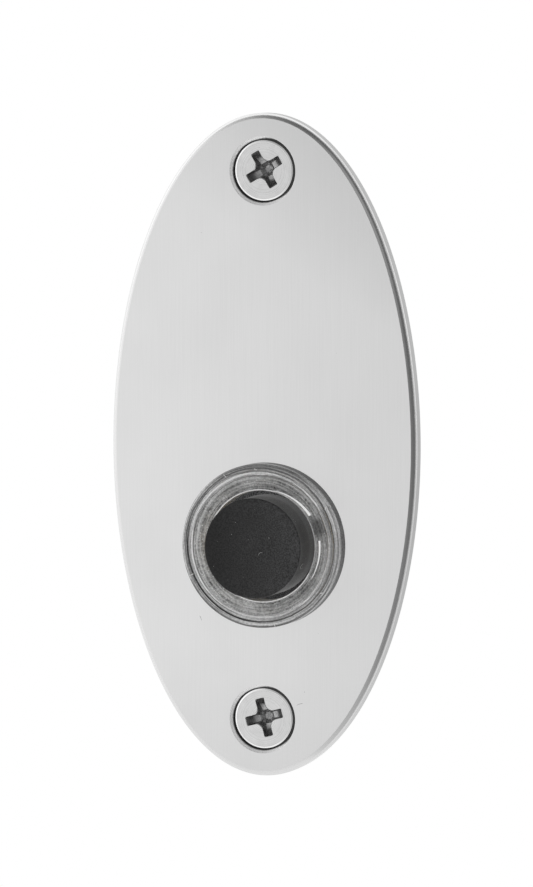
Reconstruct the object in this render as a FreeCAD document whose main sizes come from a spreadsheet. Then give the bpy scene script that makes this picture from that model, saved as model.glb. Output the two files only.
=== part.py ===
import FreeCAD, Part
import math
import os
import re
import Sketcher

# Doorbell push button on an oval plate, in millimetres.
# The origin is the centre of the plate's back face, which lies on the wall.
# +Y goes into the wall, so the front of the plate faces -Y. +X is right and +Z is up.

SIZES = {
    # Oval face plate
    "plate_height": 88.9,
    "plate_width": 42.8,
    "plate_thickness": 2.4,
    "bevel_width": 0.68,
    "bevel_drop": 0.73,
    "crest_radius": 0.3,
    "ledge_thickness": 1.5,
    "ledge_recess_margin": 1.1,
    # Mounting screws and their countersunk holes
    "screw_inset": 7.7,
    "countersink_diameter": 9.2,
    "countersink_angle": 82,
    "screw_hole_diameter": 5.1,
    "screw_head_diameter": 8.1,
    "screw_head_land": 0.23,
    "screw_shank_diameter": 4.16,
    "screw_length": 25.4,
    "screw_point_length": 4.2,
    "seat_clearance": 0.01,
    "drive_span": 5,
    "drive_slot": 1.1,
    "drive_depth": 2.3,
    "drive_floor_span": 1.3,
    "drive_floor_slot": 0.7,
    "upper_drive_turn": 30.5,
    "lower_drive_turn": 15,
    # Clear lens and its barrel
    "push_centre_drop": 13.2,
    "push_centre_right": 0.6,
    "lens_diameter": 22,
    "lens_height": 3,
    "lens_edge_radius": 0.35,
    "groove_inset": 0.9,
    "groove_width": 0.3,
    "groove_depth": 0.18,
    "dish_inset": 1.5,
    "lens_rim_height": 2.4,
    "lens_bore_inset": 3.6,
    "lens_bore_depth": 2.8,
    "neck_inset": 1.5,
    "neck_clearance": 0.1,
    "neck_step": 0.2,
    "barrel_wall": 1.2,
    "barrel_length": 14.4,
    # Snap fingers that hold the barrel behind the plate
    "finger_width": 5,
    "finger_slot": 0.8,
    "finger_length": 6.5,
    "finger_undercut": 0.75,
    "barb_height": 0.6,
    "barb_length": 0.8,
    # Windows for the snap noses of the rear base
    "window_width": 2.4,
    "window_length": 1.6,
    "window_setback": 1.4,
    # Keyway that stops the button turning
    "key_turn": 21,
    "keyway_width": 3.2,
    "keyway_depth": 0.7,
    "key_clearance": 0.1,
    # Push button
    "button_travel": 1.6,
    "cap_clearance": 0.7,
    "cap_proud": 4.05,
    "cap_edge_radius": 0.2,
    "cap_rim_width": 0.15,
    "cap_dish_depth": 0.15,
    "cap_front_wall": 1.6,
    "cap_side_wall": 0.9,
    "flange_thickness": 1.4,
    "flange_clearance": 0.07,
    "post_diameter": 3,
    "post_overhang": 1.2,
    "tail_diameter": 1.9,
    "tail_length": 2,
    # Moving contact bridge and the contact rivets
    "bridge_end_gap": 1.8,
    "bridge_width": 3.4,
    "bridge_thickness": 0.5,
    "fit_clearance": 0.05,
    "contact_inset": 1.5,
    "contact_head_diameter": 2.2,
    "contact_head_thickness": 0.4,
    "contact_shank_diameter": 1.3,
    "contact_tail_diameter": 1.9,
    "contact_tail_thickness": 0.25,
    # Fixed contact strips
    "strip_thickness": 0.7,
    "strip_width": 3.4,
    "strip_bend_radius": 0.9,
    "strip_wall_gap": 1.2,
    "arm_past_contact": 1.4,
    "tab_width": 5.4,
    "tab_length": 4.9,
    # Rear base
    "contact_room": 4,
    "base_flange_thickness": 1.2,
    "base_flange_inset": 0.1,
    "nose_reach": 1,
    "nose_length": 1.45,
    "nose_ramp": 0.8,
    "spring_pocket_diameter": 4.6,
    "spring_pocket_depth": 0.5,
    "spring_boss_diameter": 2.5,
    "spring_boss_height": 1.5,
    "barrier_width": 1.2,
    "barrier_height": 2.6,
    "barrier_inset": 1.8,
    # Terminal screws
    "terminal_inset": 2.5,
    "terminal_shank_diameter": 2.9,
    "terminal_screw_length": 6,
    "terminal_head_diameter": 5,
    "terminal_head_height": 1.5,
    "terminal_head_round": 0.5,
    "terminal_slot_width": 0.9,
    "terminal_slot_depth": 0.8,
    "washer_width": 5.2,
    "washer_thickness": 0.7,
    "washer_round": 0.8,
    # Return spring
    "spring_mean_diameter": 3.5,
    "spring_wire_diameter": 0.42,
    "spring_turns": 5,
    "spring_coil_gap": 0.03,
    "spring_ground_depth": 0.12,
    # Pilot lamp with its leads and resistor
    "lamp_diameter": 3,
    "lamp_length": 5.3,
    "lamp_offset": 3.9,
    "lamp_collar_diameter": 3.4,
    "lamp_collar_length": 0.8,
    "lamp_rest_height": 3.2,
    "lamp_rest_width": 1.2,
    "lamp_rest_length": 2,
    "lead_diameter": 0.5,
    "lead_spacing": 2.54,
    "lead_drop": 1.5,
    "lead_elbow": 4.2,
    "lead_landing": 1.2,
    "lead_bend_radius": 0.5,
    "resistor_diameter": 1.5,
    "resistor_length": 2.6,
    "resistor_round": 0.3,
}

# Places along Y, front to back, as formulas of the sizes
FACE = "(-plate_thickness)"
LEDGE = f"({FACE} + ledge_thickness)"
LENS_FRONT = f"({FACE} - lens_height)"
LENS_RIM = f"({FACE} - lens_rim_height)"
SHOULDER = f"({LENS_RIM} + lens_bore_depth)"
BARREL_END = f"({FACE} + barrel_length)"
CAP_FRONT = f"({LENS_RIM} - cap_proud)"
CAP_INSIDE = f"({CAP_FRONT} + cap_front_wall)"
SKIRT_END = f"({SHOULDER} + flange_thickness)"
BRIDGE_FRONT = f"({SKIRT_END} + post_overhang)"
BRIDGE_BACK = f"({BRIDGE_FRONT} + bridge_thickness)"
MOVING_CONTACT = f"({BRIDGE_BACK} + contact_head_thickness)"
FIXED_CONTACT = f"({MOVING_CONTACT} + button_travel)"
ARM_FRONT = f"({FIXED_CONTACT} + contact_head_thickness)"
BASE_FLOOR = f"({ARM_FRONT} + contact_room)"
BASE_BACK = f"({BARREL_END} + base_flange_thickness)"
TAB_BACK = f"({BASE_BACK} + strip_thickness)"
WASHER_BACK = f"({TAB_BACK} + washer_thickness)"
SPRING_SEAT = f"({BASE_FLOOR} + spring_pocket_depth)"
LAMP_BACK = f"({BASE_FLOOR} - lamp_rest_height)"
LEAD_PLANE = f"({LAMP_BACK} + lead_drop)"

# Distances from the plate's centre and from the push button's axis
SCREW_REACH = "(plate_height / 2 - screw_inset)"
LENS_RADIUS = "(lens_diameter / 2)"
GROOVE_RADIUS = f"({LENS_RADIUS} - groove_inset)"
BORE_RADIUS = f"({LENS_RADIUS} - lens_bore_inset)"
CAP_RADIUS = f"({BORE_RADIUS} - cap_clearance)"
NECK_RADIUS = f"({LENS_RADIUS} - neck_inset)"
BARREL_RADIUS = f"({NECK_RADIUS} - neck_step)"
CHAMBER_RADIUS = f"({BARREL_RADIUS} - barrel_wall)"
SPIGOT_RADIUS = f"({CHAMBER_RADIUS} - fit_clearance)"
LEG_OUTSIDE = f"({CHAMBER_RADIUS} - strip_wall_gap)"
LEG_INSIDE = f"({LEG_OUTSIDE} - strip_thickness)"
BRIDGE_REACH = f"({CHAMBER_RADIUS} - bridge_end_gap)"
CONTACT_REACH = f"({BRIDGE_REACH} - contact_inset)"
TERMINAL_REACH = f"({LEG_OUTSIDE} - terminal_inset)"

NEAR = 1e-4

os.makedirs("parts", exist_ok=True)
doc = FreeCAD.newDocument("doorbell_push_button")


def size_sheet():
    """The spreadsheet of the sizes: a name in column A and its number, under that alias, in column B."""
    sheet = doc.addObject("Spreadsheet::Sheet", "sizes")
    for row, (name, value) in enumerate(SIZES.items(), 1):
        sheet.set(f"A{row}", name)
        sheet.set(f"B{row}", str(value))
        sheet.setAlias(f"B{row}", name)
    doc.recompute()
    return sheet


sizes = size_sheet()


def linked(formula):
    """The formula with each size's name pointing into the sheet."""
    return re.sub("[a-z_]+", lambda word: f"sizes.{word[0]}" if word[0] in SIZES else word[0], formula)


def number(formula):
    return float(sizes.evalExpression(linked(formula)))


def bind(thing, **formulas):
    """Ties properties of an object to formulas of the sizes. A double underscore stands for a dot."""
    for path, formula in formulas.items():
        thing.setExpression(path.replace("__", "."), linked(formula))


# Sketches

def on_push_axis(piece, across="0", up="0"):
    """Places a piece from the push button's axis."""
    bind(piece, Placement__Base__x=f"push_centre_right + {across}",
         Placement__Base__z=f"{up} - push_centre_drop")


def new_body(label, across="0", up="0"):
    """A body placed from the push button's axis."""
    body = new_plain_body(label)
    on_push_axis(body, across, up)
    return body


def new_plain_body(label):
    """A body placed from the plate's centre."""
    body = doc.addObject("PartDesign::Body", label)
    body.Label = label
    return body


def origin_plane(body, role):
    return next(feature for feature in body.Origin.OriginFeatures if feature.Role == role)


def new_sketch(body, name, role, offset="0", turn=None):
    sketch = body.newObject("Sketcher::SketchObject", name)
    sketch.AttachmentSupport = (origin_plane(body, role), [""])
    sketch.MapMode = "FlatFace"
    bind(sketch, AttachmentOffset__Base__z=offset)
    if turn:
        bind(sketch, AttachmentOffset__Rotation__Angle=turn)
    return sketch


def hold(sketch, kind, geometry, formula, *ends):
    """Adds one constraint of a size and ties it to its formula."""
    place = sketch.addConstraint(Sketcher.Constraint(kind, *ends, *geometry, number(formula)))
    sketch.setExpression(f"Constraints[{place}]", linked(formula))


def draw_corners(sketch, corners):
    """Closed straight lines. Each corner is two formulas: across and up."""
    points = [FreeCAD.Vector(number(across), number(up), 0) for across, up in corners]
    for start, end in zip(points, points[1:] + points[:1]):
        sketch.addGeometry(Part.LineSegment(start, end), False)
    for line, (across, up) in enumerate(corners):
        sketch.addConstraint(Sketcher.Constraint("Coincident", line, 2, (line + 1) % len(corners), 1))
        hold(sketch, "DistanceX", (line, 1), across, -1, 1)
        hold(sketch, "DistanceY", (line, 1), up, -1, 1)


def draw_circle(sketch, diameter, across="0", up="0"):
    """A circle whose centre is two formulas: across and up."""
    centre = FreeCAD.Vector(number(across), number(up), 0)
    circle = sketch.addGeometry(Part.Circle(centre, FreeCAD.Vector(0, 0, 1), number(diameter) / 2), False)
    hold(sketch, "DistanceX", (circle, 3), across, -1, 1)
    hold(sketch, "DistanceY", (circle, 3), up, -1, 1)
    hold(sketch, "Diameter", (circle,), diameter)


def rectangle(left, right, low, high):
    return [(left, low), (right, low), (right, high), (left, high)]


# Features. On an XZ_Plane sketch a pad grows towards the front and a pocket cuts towards the back.

def turned(body, name, profile):
    """A body turned about Y. Each corner of the profile is a radius and a place along Y."""
    sketch = new_sketch(body, f"{name}_profile", "XY_Plane")
    draw_corners(sketch, profile)
    feature = body.newObject("PartDesign::Revolution", name)
    feature.Profile = sketch
    feature.ReferenceAxis = (sketch, ["V_Axis"])
    feature.Angle = 360
    return feature


def pad(body, name, sketch, length, symmetric=False):
    feature = body.newObject("PartDesign::Pad", name)
    feature.Profile = sketch
    if symmetric:
        feature.SideType = "Symmetric"
    bind(feature, Length=length)
    return feature


def pocket(body, name, sketch, length=None, symmetric=False):
    feature = body.newObject("PartDesign::Pocket", name)
    feature.Profile = sketch
    if symmetric:
        feature.SideType = "Symmetric"
    if length:
        bind(feature, Length=length)
    else:
        feature.Type = "ThroughAll"
    return feature


def mirrored(body, name, feature, role):
    """Repeats a feature on the other side of one of the body's own planes."""
    copy = body.newObject("PartDesign::Mirrored", name)
    copy.Originals = [feature]
    copy.MirrorPlane = (origin_plane(body, role), [""])
    body.Tip = copy
    return copy


def edges_of(feature, wanted):
    doc.recompute()
    return [f"Edge{place}" for place, edge in enumerate(feature.Shape.Edges, 1) if wanted(edge)]


def is_ring(edge, radius, depth):
    """Whether an edge is a circle round Y of that radius at that depth."""
    if not isinstance(edge.Curve, Part.Circle):
        return False
    right_size = abs(edge.Curve.Radius - number(radius)) < NEAR
    return right_size and abs(edge.Curve.Center.y - number(depth)) < NEAR


def rounded(body, name, feature, wanted, radius):
    fillet = body.newObject("PartDesign::Fillet", name)
    fillet.Base = (feature, edges_of(feature, wanted))
    bind(fillet, Radius=radius)
    return fillet


# Face plate: a flat oval with a bevel round its front and three holes

def face_plate():
    body = new_plain_body("face_plate")
    oval = new_sketch(body, "plate_oval", "XZ_Plane")
    half_height = number("plate_height / 2")
    half_width = number("plate_width / 2")
    tall = Part.Ellipse(FreeCAD.Vector(0, half_height, 0), FreeCAD.Vector(half_width, 0, 0), FreeCAD.Vector())
    ellipse = oval.addGeometry(tall, False)
    oval.exposeInternalGeometry(ellipse)
    long_axis, short_axis = ellipse + 1, ellipse + 2
    oval.addConstraint(Sketcher.Constraint("Coincident", ellipse, 3, -1, 1))
    oval.addConstraint(Sketcher.Constraint("Vertical", long_axis))
    hold(oval, "Distance", (long_axis, 2), "plate_height", long_axis, 1)
    hold(oval, "Distance", (short_axis, 2), "plate_width", short_axis, 1)
    slab = pad(body, "plate_slab", oval, "plate_thickness")

    bevel = body.newObject("PartDesign::Chamfer", "plate_bevel")
    bevel.Base = (slab, edges_of(slab, lambda edge: lies_at(edge, FACE)))
    bevel.ChamferType = "Two distances"
    bind(bevel, Size="bevel_drop", Size2="bevel_width")
    crest_depth = f"({FACE} + bevel_drop)"
    crest = rounded(body, "plate_crest", bevel, lambda edge: lies_at(edge, crest_depth), "crest_radius")

    barrel_hole = new_sketch(body, "barrel_hole_place", "XZ_Plane", offset=f"-{FACE}")
    draw_circle(barrel_hole, f"2 * ({NECK_RADIUS} + neck_clearance)", "push_centre_right",
                "-push_centre_drop")
    pocket(body, "barrel_hole", barrel_hole)
    ledge_recess = new_sketch(body, "ledge_recess_place", "XZ_Plane", offset=f"-{LEDGE}")
    draw_circle(ledge_recess, f"2 * ({NECK_RADIUS} + ledge_recess_margin)", "push_centre_right",
                "-push_centre_drop")
    pocket(body, "ledge_recess", ledge_recess)

    holes = new_sketch(body, "screw_hole_places", "XZ_Plane", offset=f"-{FACE}")
    for side in ("", "-"):
        draw_circle(holes, "screw_hole_diameter", up=f"{side}{SCREW_REACH}")
    doc.recompute()
    countersunk = body.newObject("PartDesign::Hole", "screw_holes")
    countersunk.Profile = holes
    countersunk.DepthType = "ThroughAll"
    countersunk.HoleCutType = "Countersink"
    countersunk.HoleCutCustomValues = True
    bind(countersunk, Diameter="screw_hole_diameter", HoleCutDiameter="countersink_diameter",
         HoleCutCountersinkAngle="countersink_angle")
    return body


def lies_at(edge, depth):
    """Whether an edge lies flat at one depth and goes round the plate."""
    box = edge.BoundBox
    flat = abs(box.YMin - number(depth)) < NEAR and abs(box.YMax - number(depth)) < NEAR
    return flat and edge.Length > number("plate_width")


# Mounting screw: flat head, cross recess and a point

def mounting_screw(label, side, turn):
    """The head's cone seats in the plate's countersink, which sets how deep the head sits."""
    body = new_plain_body(label)
    body.Placement.Rotation = FreeCAD.Rotation(FreeCAD.Vector(0, -1, 0), 1)
    bind(body, Placement__Base__z=f"{side}{SCREW_REACH}", Placement__Rotation__Angle=turn)
    slope = "tan(countersink_angle / 2)"
    head, shank = "(screw_head_diameter / 2)", "(screw_shank_diameter / 2)"
    cone_start = f"({FACE} + (countersink_diameter - screw_head_diameter) / 2 / {slope} - seat_clearance)"
    head_top = f"({cone_start} - screw_head_land)"
    cone_end = f"({cone_start} + ({head} - {shank}) / {slope})"
    tip = f"({head_top} + screw_length)"
    turned(body, f"{label}_blank", [
        ("0", head_top),
        (head, head_top),
        (head, cone_start),
        (shank, cone_end),
        (shank, f"{tip} - screw_point_length"),
        ("0", tip)])

    mouth = new_sketch(body, f"{label}_drive_mouth", "XZ_Plane", offset=f"-{head_top}")
    draw_corners(mouth, cross("drive_span / 2", "drive_slot / 2"))
    floor = new_sketch(body, f"{label}_drive_floor", "XZ_Plane", offset=f"-{head_top} - drive_depth")
    draw_corners(floor, cross("drive_floor_span / 2", "drive_floor_slot / 2"))
    recess = body.newObject("PartDesign::SubtractiveLoft", f"{label}_drive")
    recess.Profile = mouth
    recess.Sections = [floor]
    recess.Ruled = True
    return body


def cross(reach, half):
    """The twelve corners of a cross whose arms have that reach and half width."""
    return [
        (reach, half), (half, half), (half, reach),
        (f"-{half}", reach), (f"-{half}", half), (f"-{reach}", half),
        (f"-{reach}", f"-{half}"), (f"-{half}", f"-{half}"), (f"-{half}", f"-{reach}"),
        (half, f"-{reach}"), (half, f"-{half}"), (reach, f"-{half}")]


# Lens housing: the clear flange in front of the plate and the barrel behind it, moulded as one

def lens_housing():
    body = new_body("lens_housing")
    shell = turned(body, "lens_and_barrel", [
        (BORE_RADIUS, SHOULDER),
        (BORE_RADIUS, LENS_RIM),
        (f"{LENS_RADIUS} - dish_inset", LENS_FRONT),
        (f"{GROOVE_RADIUS} - groove_width / 2", LENS_FRONT),
        (GROOVE_RADIUS, f"{LENS_FRONT} + groove_depth"),
        (f"{GROOVE_RADIUS} + groove_width / 2", LENS_FRONT),
        (LENS_RADIUS, LENS_FRONT),
        (LENS_RADIUS, FACE),
        (NECK_RADIUS, FACE),
        (NECK_RADIUS, "0"),
        (BARREL_RADIUS, "0"),
        (BARREL_RADIUS, BARREL_END),
        (CHAMBER_RADIUS, BARREL_END),
        (CHAMBER_RADIUS, SHOULDER)])
    rounded(body, "lens_edge", shell, lambda edge: is_ring(edge, LENS_RADIUS, LENS_FRONT), "lens_edge_radius")

    # The two fingers, one above and one below, are cut free by a U-shaped slot.
    # Each carries a barb that catches behind the plate's ledge.
    half, wide = "finger_width / 2", "(finger_width / 2 + finger_slot)"
    finger_end = f"({LEDGE} + fit_clearance)"
    finger_root = f"({finger_end} + finger_length)"
    slot_front = f"({LEDGE} - finger_undercut)"
    slot = new_sketch(body, "finger_slot_shape", "XY_Plane")
    draw_corners(slot, [
        (wide, finger_root), (wide, slot_front), (f"-{wide}", slot_front), (f"-{wide}", finger_root),
        (f"-{half}", finger_root), (f"-{half}", finger_end), (half, finger_end), (half, finger_root)])
    pocket(body, "finger_slots", slot, symmetric=True)
    sunk = f"({BARREL_RADIUS} - barrel_wall / 2)"
    ramp = new_sketch(body, "barb_shape", "YZ_Plane")
    draw_corners(ramp, [
        (finger_end, sunk),
        (finger_end, f"{NECK_RADIUS} + barb_height"),
        (f"{finger_end} + barb_length", NECK_RADIUS),
        (f"{finger_end} + barb_length", sunk)])
    barb = pad(body, "upper_barb", ramp, "finger_width", symmetric=True)
    mirrored(body, "lower_barb", barb, "XY_Plane")

    # Windows at the left and right, and the keyway that opens at the back
    window_back = f"({BARREL_END} - window_setback)"
    window = new_sketch(body, "window_shape", "YZ_Plane")
    draw_corners(window, rectangle(
        f"{window_back} - window_length", window_back, "-window_width / 2", "window_width / 2"))
    pocket(body, "windows", window, symmetric=True)
    keyway = new_sketch(body, "keyway_shape", "XZ_Plane", offset=f"-{SHOULDER}", turn="key_turn")
    draw_corners(keyway, rectangle(
        f"{CHAMBER_RADIUS} / 2", f"{CHAMBER_RADIUS} + keyway_depth", "-keyway_width / 2", "keyway_width / 2"))
    pocket(body, "keyway", keyway)
    return body


# Push button: cap, skirt, retaining flange with its key, and the post inside

def push_button():
    body = new_body("push_button")
    post, tail = "post_diameter / 2", "tail_diameter / 2"
    flange = f"({CHAMBER_RADIUS} - flange_clearance)"
    skirt_inside = f"{CAP_RADIUS} - cap_side_wall"
    blank = turned(body, "button_blank", [
        ("0", CAP_FRONT),
        (CAP_RADIUS, CAP_FRONT),
        (CAP_RADIUS, SHOULDER),
        (flange, SHOULDER),
        (flange, SKIRT_END),
        (skirt_inside, SKIRT_END),
        (skirt_inside, CAP_INSIDE),
        (post, CAP_INSIDE),
        (post, BRIDGE_FRONT),
        (tail, BRIDGE_FRONT),
        (tail, f"{BRIDGE_FRONT} + tail_length"),
        ("0", f"{BRIDGE_FRONT} + tail_length")])
    rounded(body, "cap_edge", blank, lambda edge: is_ring(edge, CAP_RADIUS, CAP_FRONT), "cap_edge_radius")
    dish_reach = f"({CAP_RADIUS} - cap_edge_radius - cap_rim_width)"
    dish_radius = f"(({dish_reach}^2 + cap_dish_depth^2) / (2 * cap_dish_depth))"
    dish = body.newObject("PartDesign::SubtractiveSphere", "cap_dish")
    dish.AttachmentSupport = (origin_plane(body, "XZ_Plane"), [""])
    dish.MapMode = "FlatFace"
    bind(dish, Radius=dish_radius, AttachmentOffset__Base__z=f"{dish_radius} - cap_dish_depth - {CAP_FRONT}")
    half_key = "(keyway_width / 2 - key_clearance)"
    key = new_sketch(body, "key_shape", "XZ_Plane", offset=f"-{SKIRT_END}", turn="key_turn")
    draw_corners(key, rectangle(
        CAP_RADIUS, f"{CHAMBER_RADIUS} + keyway_depth - key_clearance", f"-{half_key}", half_key))
    pad(body, "key", key, "flange_thickness")
    return body


# Moving contact bridge, threaded on the post's tail

def contact_bridge():
    body = new_body("contact_bridge")
    strip = new_sketch(body, "bridge_shape", "XZ_Plane", offset=f"-{BRIDGE_BACK}")
    draw_corners(strip, rectangle(f"-{BRIDGE_REACH}", BRIDGE_REACH, "-bridge_width / 2", "bridge_width / 2"))
    draw_circle(strip, "tail_diameter + 2 * fit_clearance")
    for side in ("", "-"):
        draw_circle(strip, "contact_shank_diameter", across=f"{side}{CONTACT_REACH}")
    pad(body, "bridge_strip", strip, "bridge_thickness")
    return body


def contact_rivet(label, side, head_side, seat, sheet):
    """A contact rivet through a sheet of metal. seat is the sheet's face under the head and
    head_side is 1 for a head behind that face, or -1 for one in front of it."""
    body = new_body(label, across=f"{side}{CONTACT_REACH}")
    head, shank, tail = (f"contact_{part}_diameter / 2" for part in ("head", "shank", "tail"))
    far = f"({seat} - ({head_side}) * {sheet})"
    turned(body, f"{label}_turning", [
        ("0", f"{seat} + ({head_side}) * contact_head_thickness"),
        (head, f"{seat} + ({head_side}) * contact_head_thickness"),
        (head, seat),
        (shank, seat),
        (shank, far),
        (tail, far),
        (tail, f"{far} - ({head_side}) * contact_tail_thickness"),
        ("0", f"{far} - ({head_side}) * contact_tail_thickness")])
    return body


# Fixed contact: one brass strip with a contact arm, a leg through the base and a terminal tab

def fixed_contact(label, side):
    body = new_body(label)
    bend = new_sketch(body, f"{label}_section", "XY_Plane")
    across = {
        "outside": f"({side}{LEG_OUTSIDE})",
        "inside": f"({side}{LEG_INSIDE})",
        "arm_end": f"({side}({CONTACT_REACH} - arm_past_contact))",
        "tab_end": f"({side}({LEG_OUTSIDE} - tab_length))"}
    draw_corners(bend, [
        (across["arm_end"], ARM_FRONT),
        (across["outside"], ARM_FRONT),
        (across["outside"], TAB_BACK),
        (across["tab_end"], TAB_BACK),
        (across["tab_end"], BASE_BACK),
        (across["inside"], BASE_BACK),
        (across["inside"], f"{ARM_FRONT} + strip_thickness"),
        (across["arm_end"], f"{ARM_FRONT} + strip_thickness")])
    strip = pad(body, f"{label}_strip", bend, "strip_width", symmetric=True)
    rounded(body, f"{label}_bends", strip, lambda edge: is_bend(edge, across["outside"]), "strip_bend_radius")

    tab = new_sketch(body, f"{label}_tab_shape", "XZ_Plane", offset=f"-{TAB_BACK}")
    inner, outer = sorted((across["tab_end"], across["inside"]), key=number)
    draw_corners(tab, rectangle(inner, outer, "-tab_width / 2", "tab_width / 2"))
    pad(body, f"{label}_tab", tab, "strip_thickness")

    holes = new_sketch(body, f"{label}_screw_hole_place", "XZ_Plane", offset=f"-{BASE_BACK}")
    draw_circle(holes, "terminal_shank_diameter + 2 * fit_clearance", across=f"{side}{TERMINAL_REACH}")
    pocket(body, f"{label}_screw_hole", holes, "strip_thickness")
    rivet_hole = new_sketch(body, f"{label}_rivet_hole_place", "XZ_Plane", offset=f"-{ARM_FRONT}")
    draw_circle(rivet_hole, "contact_shank_diameter", across=f"{side}{CONTACT_REACH}")
    pocket(body, f"{label}_rivet_hole", rivet_hole, "strip_thickness")
    return body


def is_bend(edge, across):
    """Whether an edge runs straight along Z at that place across."""
    box = edge.BoundBox
    along = box.ZLength > NEAR and box.XLength < NEAR and box.YLength < NEAR
    return along and abs(box.XMin - number(across)) < NEAR


# Rear base: closes the barrel and carries the contacts, the spring and the lamp

def rear_base():
    body = new_body("rear_base")
    boss, spring_pocket = "spring_boss_diameter / 2", "spring_pocket_diameter / 2"
    flange = f"({BARREL_RADIUS} - base_flange_inset)"
    turned(body, "base_blank", [
        ("0", f"{SPRING_SEAT} - spring_boss_height"),
        (boss, f"{SPRING_SEAT} - spring_boss_height"),
        (boss, SPRING_SEAT),
        (spring_pocket, SPRING_SEAT),
        (spring_pocket, BASE_FLOOR),
        (SPIGOT_RADIUS, BASE_FLOOR),
        (SPIGOT_RADIUS, BARREL_END),
        (flange, BARREL_END),
        (flange, BASE_BACK),
        ("0", BASE_BACK)])

    # Snap noses that catch in the barrel's windows
    half_nose = "(window_width / 2 - key_clearance)"
    catch = f"({BARREL_END} - window_setback - fit_clearance)"
    nose = new_sketch(body, "nose_shape", "XY_Plane")
    draw_corners(nose, [
        (f"{SPIGOT_RADIUS} - barrel_wall / 4", f"{catch} - nose_length"),
        (f"{SPIGOT_RADIUS} + nose_reach", f"{catch} - nose_length + nose_ramp"),
        (f"{SPIGOT_RADIUS} + nose_reach", catch),
        (f"{SPIGOT_RADIUS} - barrel_wall / 4", catch)])
    right_nose = pad(body, "right_nose", nose, f"2 * {half_nose}", symmetric=True)
    mirrored(body, "left_nose", right_nose, "YZ_Plane")

    # The barrier between the terminals, and the rest under the lamp
    barrier = new_sketch(body, "barrier_shape", "XZ_Plane", offset=f"-{BASE_BACK} - barrier_height")
    barrier_reach = f"({BARREL_RADIUS} - barrier_inset)"
    draw_corners(barrier, rectangle(
        "-barrier_width / 2", "barrier_width / 2", f"-{barrier_reach}", barrier_reach))
    pad(body, "barrier", barrier, "barrier_height")
    rest = new_sketch(body, "lamp_rest_shape", "XZ_Plane", offset=f"-{BASE_FLOOR}")
    draw_corners(rest, rectangle(
        "-lamp_rest_width / 2", "lamp_rest_width / 2",
        "lamp_offset - lamp_rest_length / 2", "lamp_offset + lamp_rest_length / 2"))
    pad(body, "lamp_rest", rest, "lamp_rest_height")

    # Slots for the contact legs and holes for the terminal screws
    slots = new_sketch(body, "leg_slot_shape", "XZ_Plane", offset=f"-{BASE_FLOOR}")
    draw_corners(slots, rectangle(
        f"{LEG_INSIDE} - fit_clearance", f"{LEG_OUTSIDE} + fit_clearance",
        "-strip_width / 2 - fit_clearance", "strip_width / 2 + fit_clearance"))
    right_slot = pocket(body, "right_leg_slot", slots)
    mirrored(body, "left_leg_slot", right_slot, "YZ_Plane")
    bores = new_sketch(body, "terminal_bore_places", "XZ_Plane", offset=f"-{BASE_FLOOR}")
    for side in ("", "-"):
        draw_circle(bores, "terminal_shank_diameter + 2 * fit_clearance", across=f"{side}{TERMINAL_REACH}")
    pocket(body, "terminal_bores", bores)
    return body


# Terminal screw and its clamp washer, on the back of the base

def terminal_screw(label, side):
    body = new_body(label, across=f"{side}{TERMINAL_REACH}")
    head, shank = "(terminal_head_diameter / 2)", "terminal_shank_diameter / 2"
    head_back = f"({WASHER_BACK} + terminal_head_height)"
    blank = turned(body, f"{label}_blank", [
        ("0", head_back),
        (head, head_back),
        (head, WASHER_BACK),
        (shank, WASHER_BACK),
        (shank, f"{WASHER_BACK} - terminal_screw_length"),
        ("0", f"{WASHER_BACK} - terminal_screw_length")])
    rounded(body, f"{label}_head_edge", blank, lambda edge: is_ring(edge, head, head_back),
            "terminal_head_round")
    slot = new_sketch(body, f"{label}_slot_shape", "XZ_Plane", offset=f"-({head_back} - terminal_slot_depth)")
    draw_corners(slot, rectangle(
        f"-{head}", head, "-terminal_slot_width / 2", "terminal_slot_width / 2"))
    pocket(body, f"{label}_slot", slot, "terminal_slot_depth")
    return body


def clamp_washer(label, side):
    body = new_body(label, across=f"{side}{TERMINAL_REACH}")
    plate = new_sketch(body, f"{label}_shape", "XZ_Plane", offset=f"-{WASHER_BACK}")
    half = "washer_width / 2"
    draw_corners(plate, rectangle(f"-{half}", half, f"-{half}", half))
    draw_circle(plate, "terminal_shank_diameter + 2 * fit_clearance")
    blank = pad(body, f"{label}_blank", plate, "washer_thickness")
    rounded(body, f"{label}_corners", blank, is_washer_corner, "washer_round")
    return body


def is_washer_corner(edge):
    """Whether an edge runs straight along Y at a corner of the square."""
    box = edge.BoundBox
    along = box.YLength > NEAR and box.XLength < NEAR and box.ZLength < NEAR
    return along and abs(abs(box.ZMin) - number("washer_width / 2")) < NEAR


# Return spring: the end coils are closed, and ground flat where they meet the bridge and the base

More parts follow.
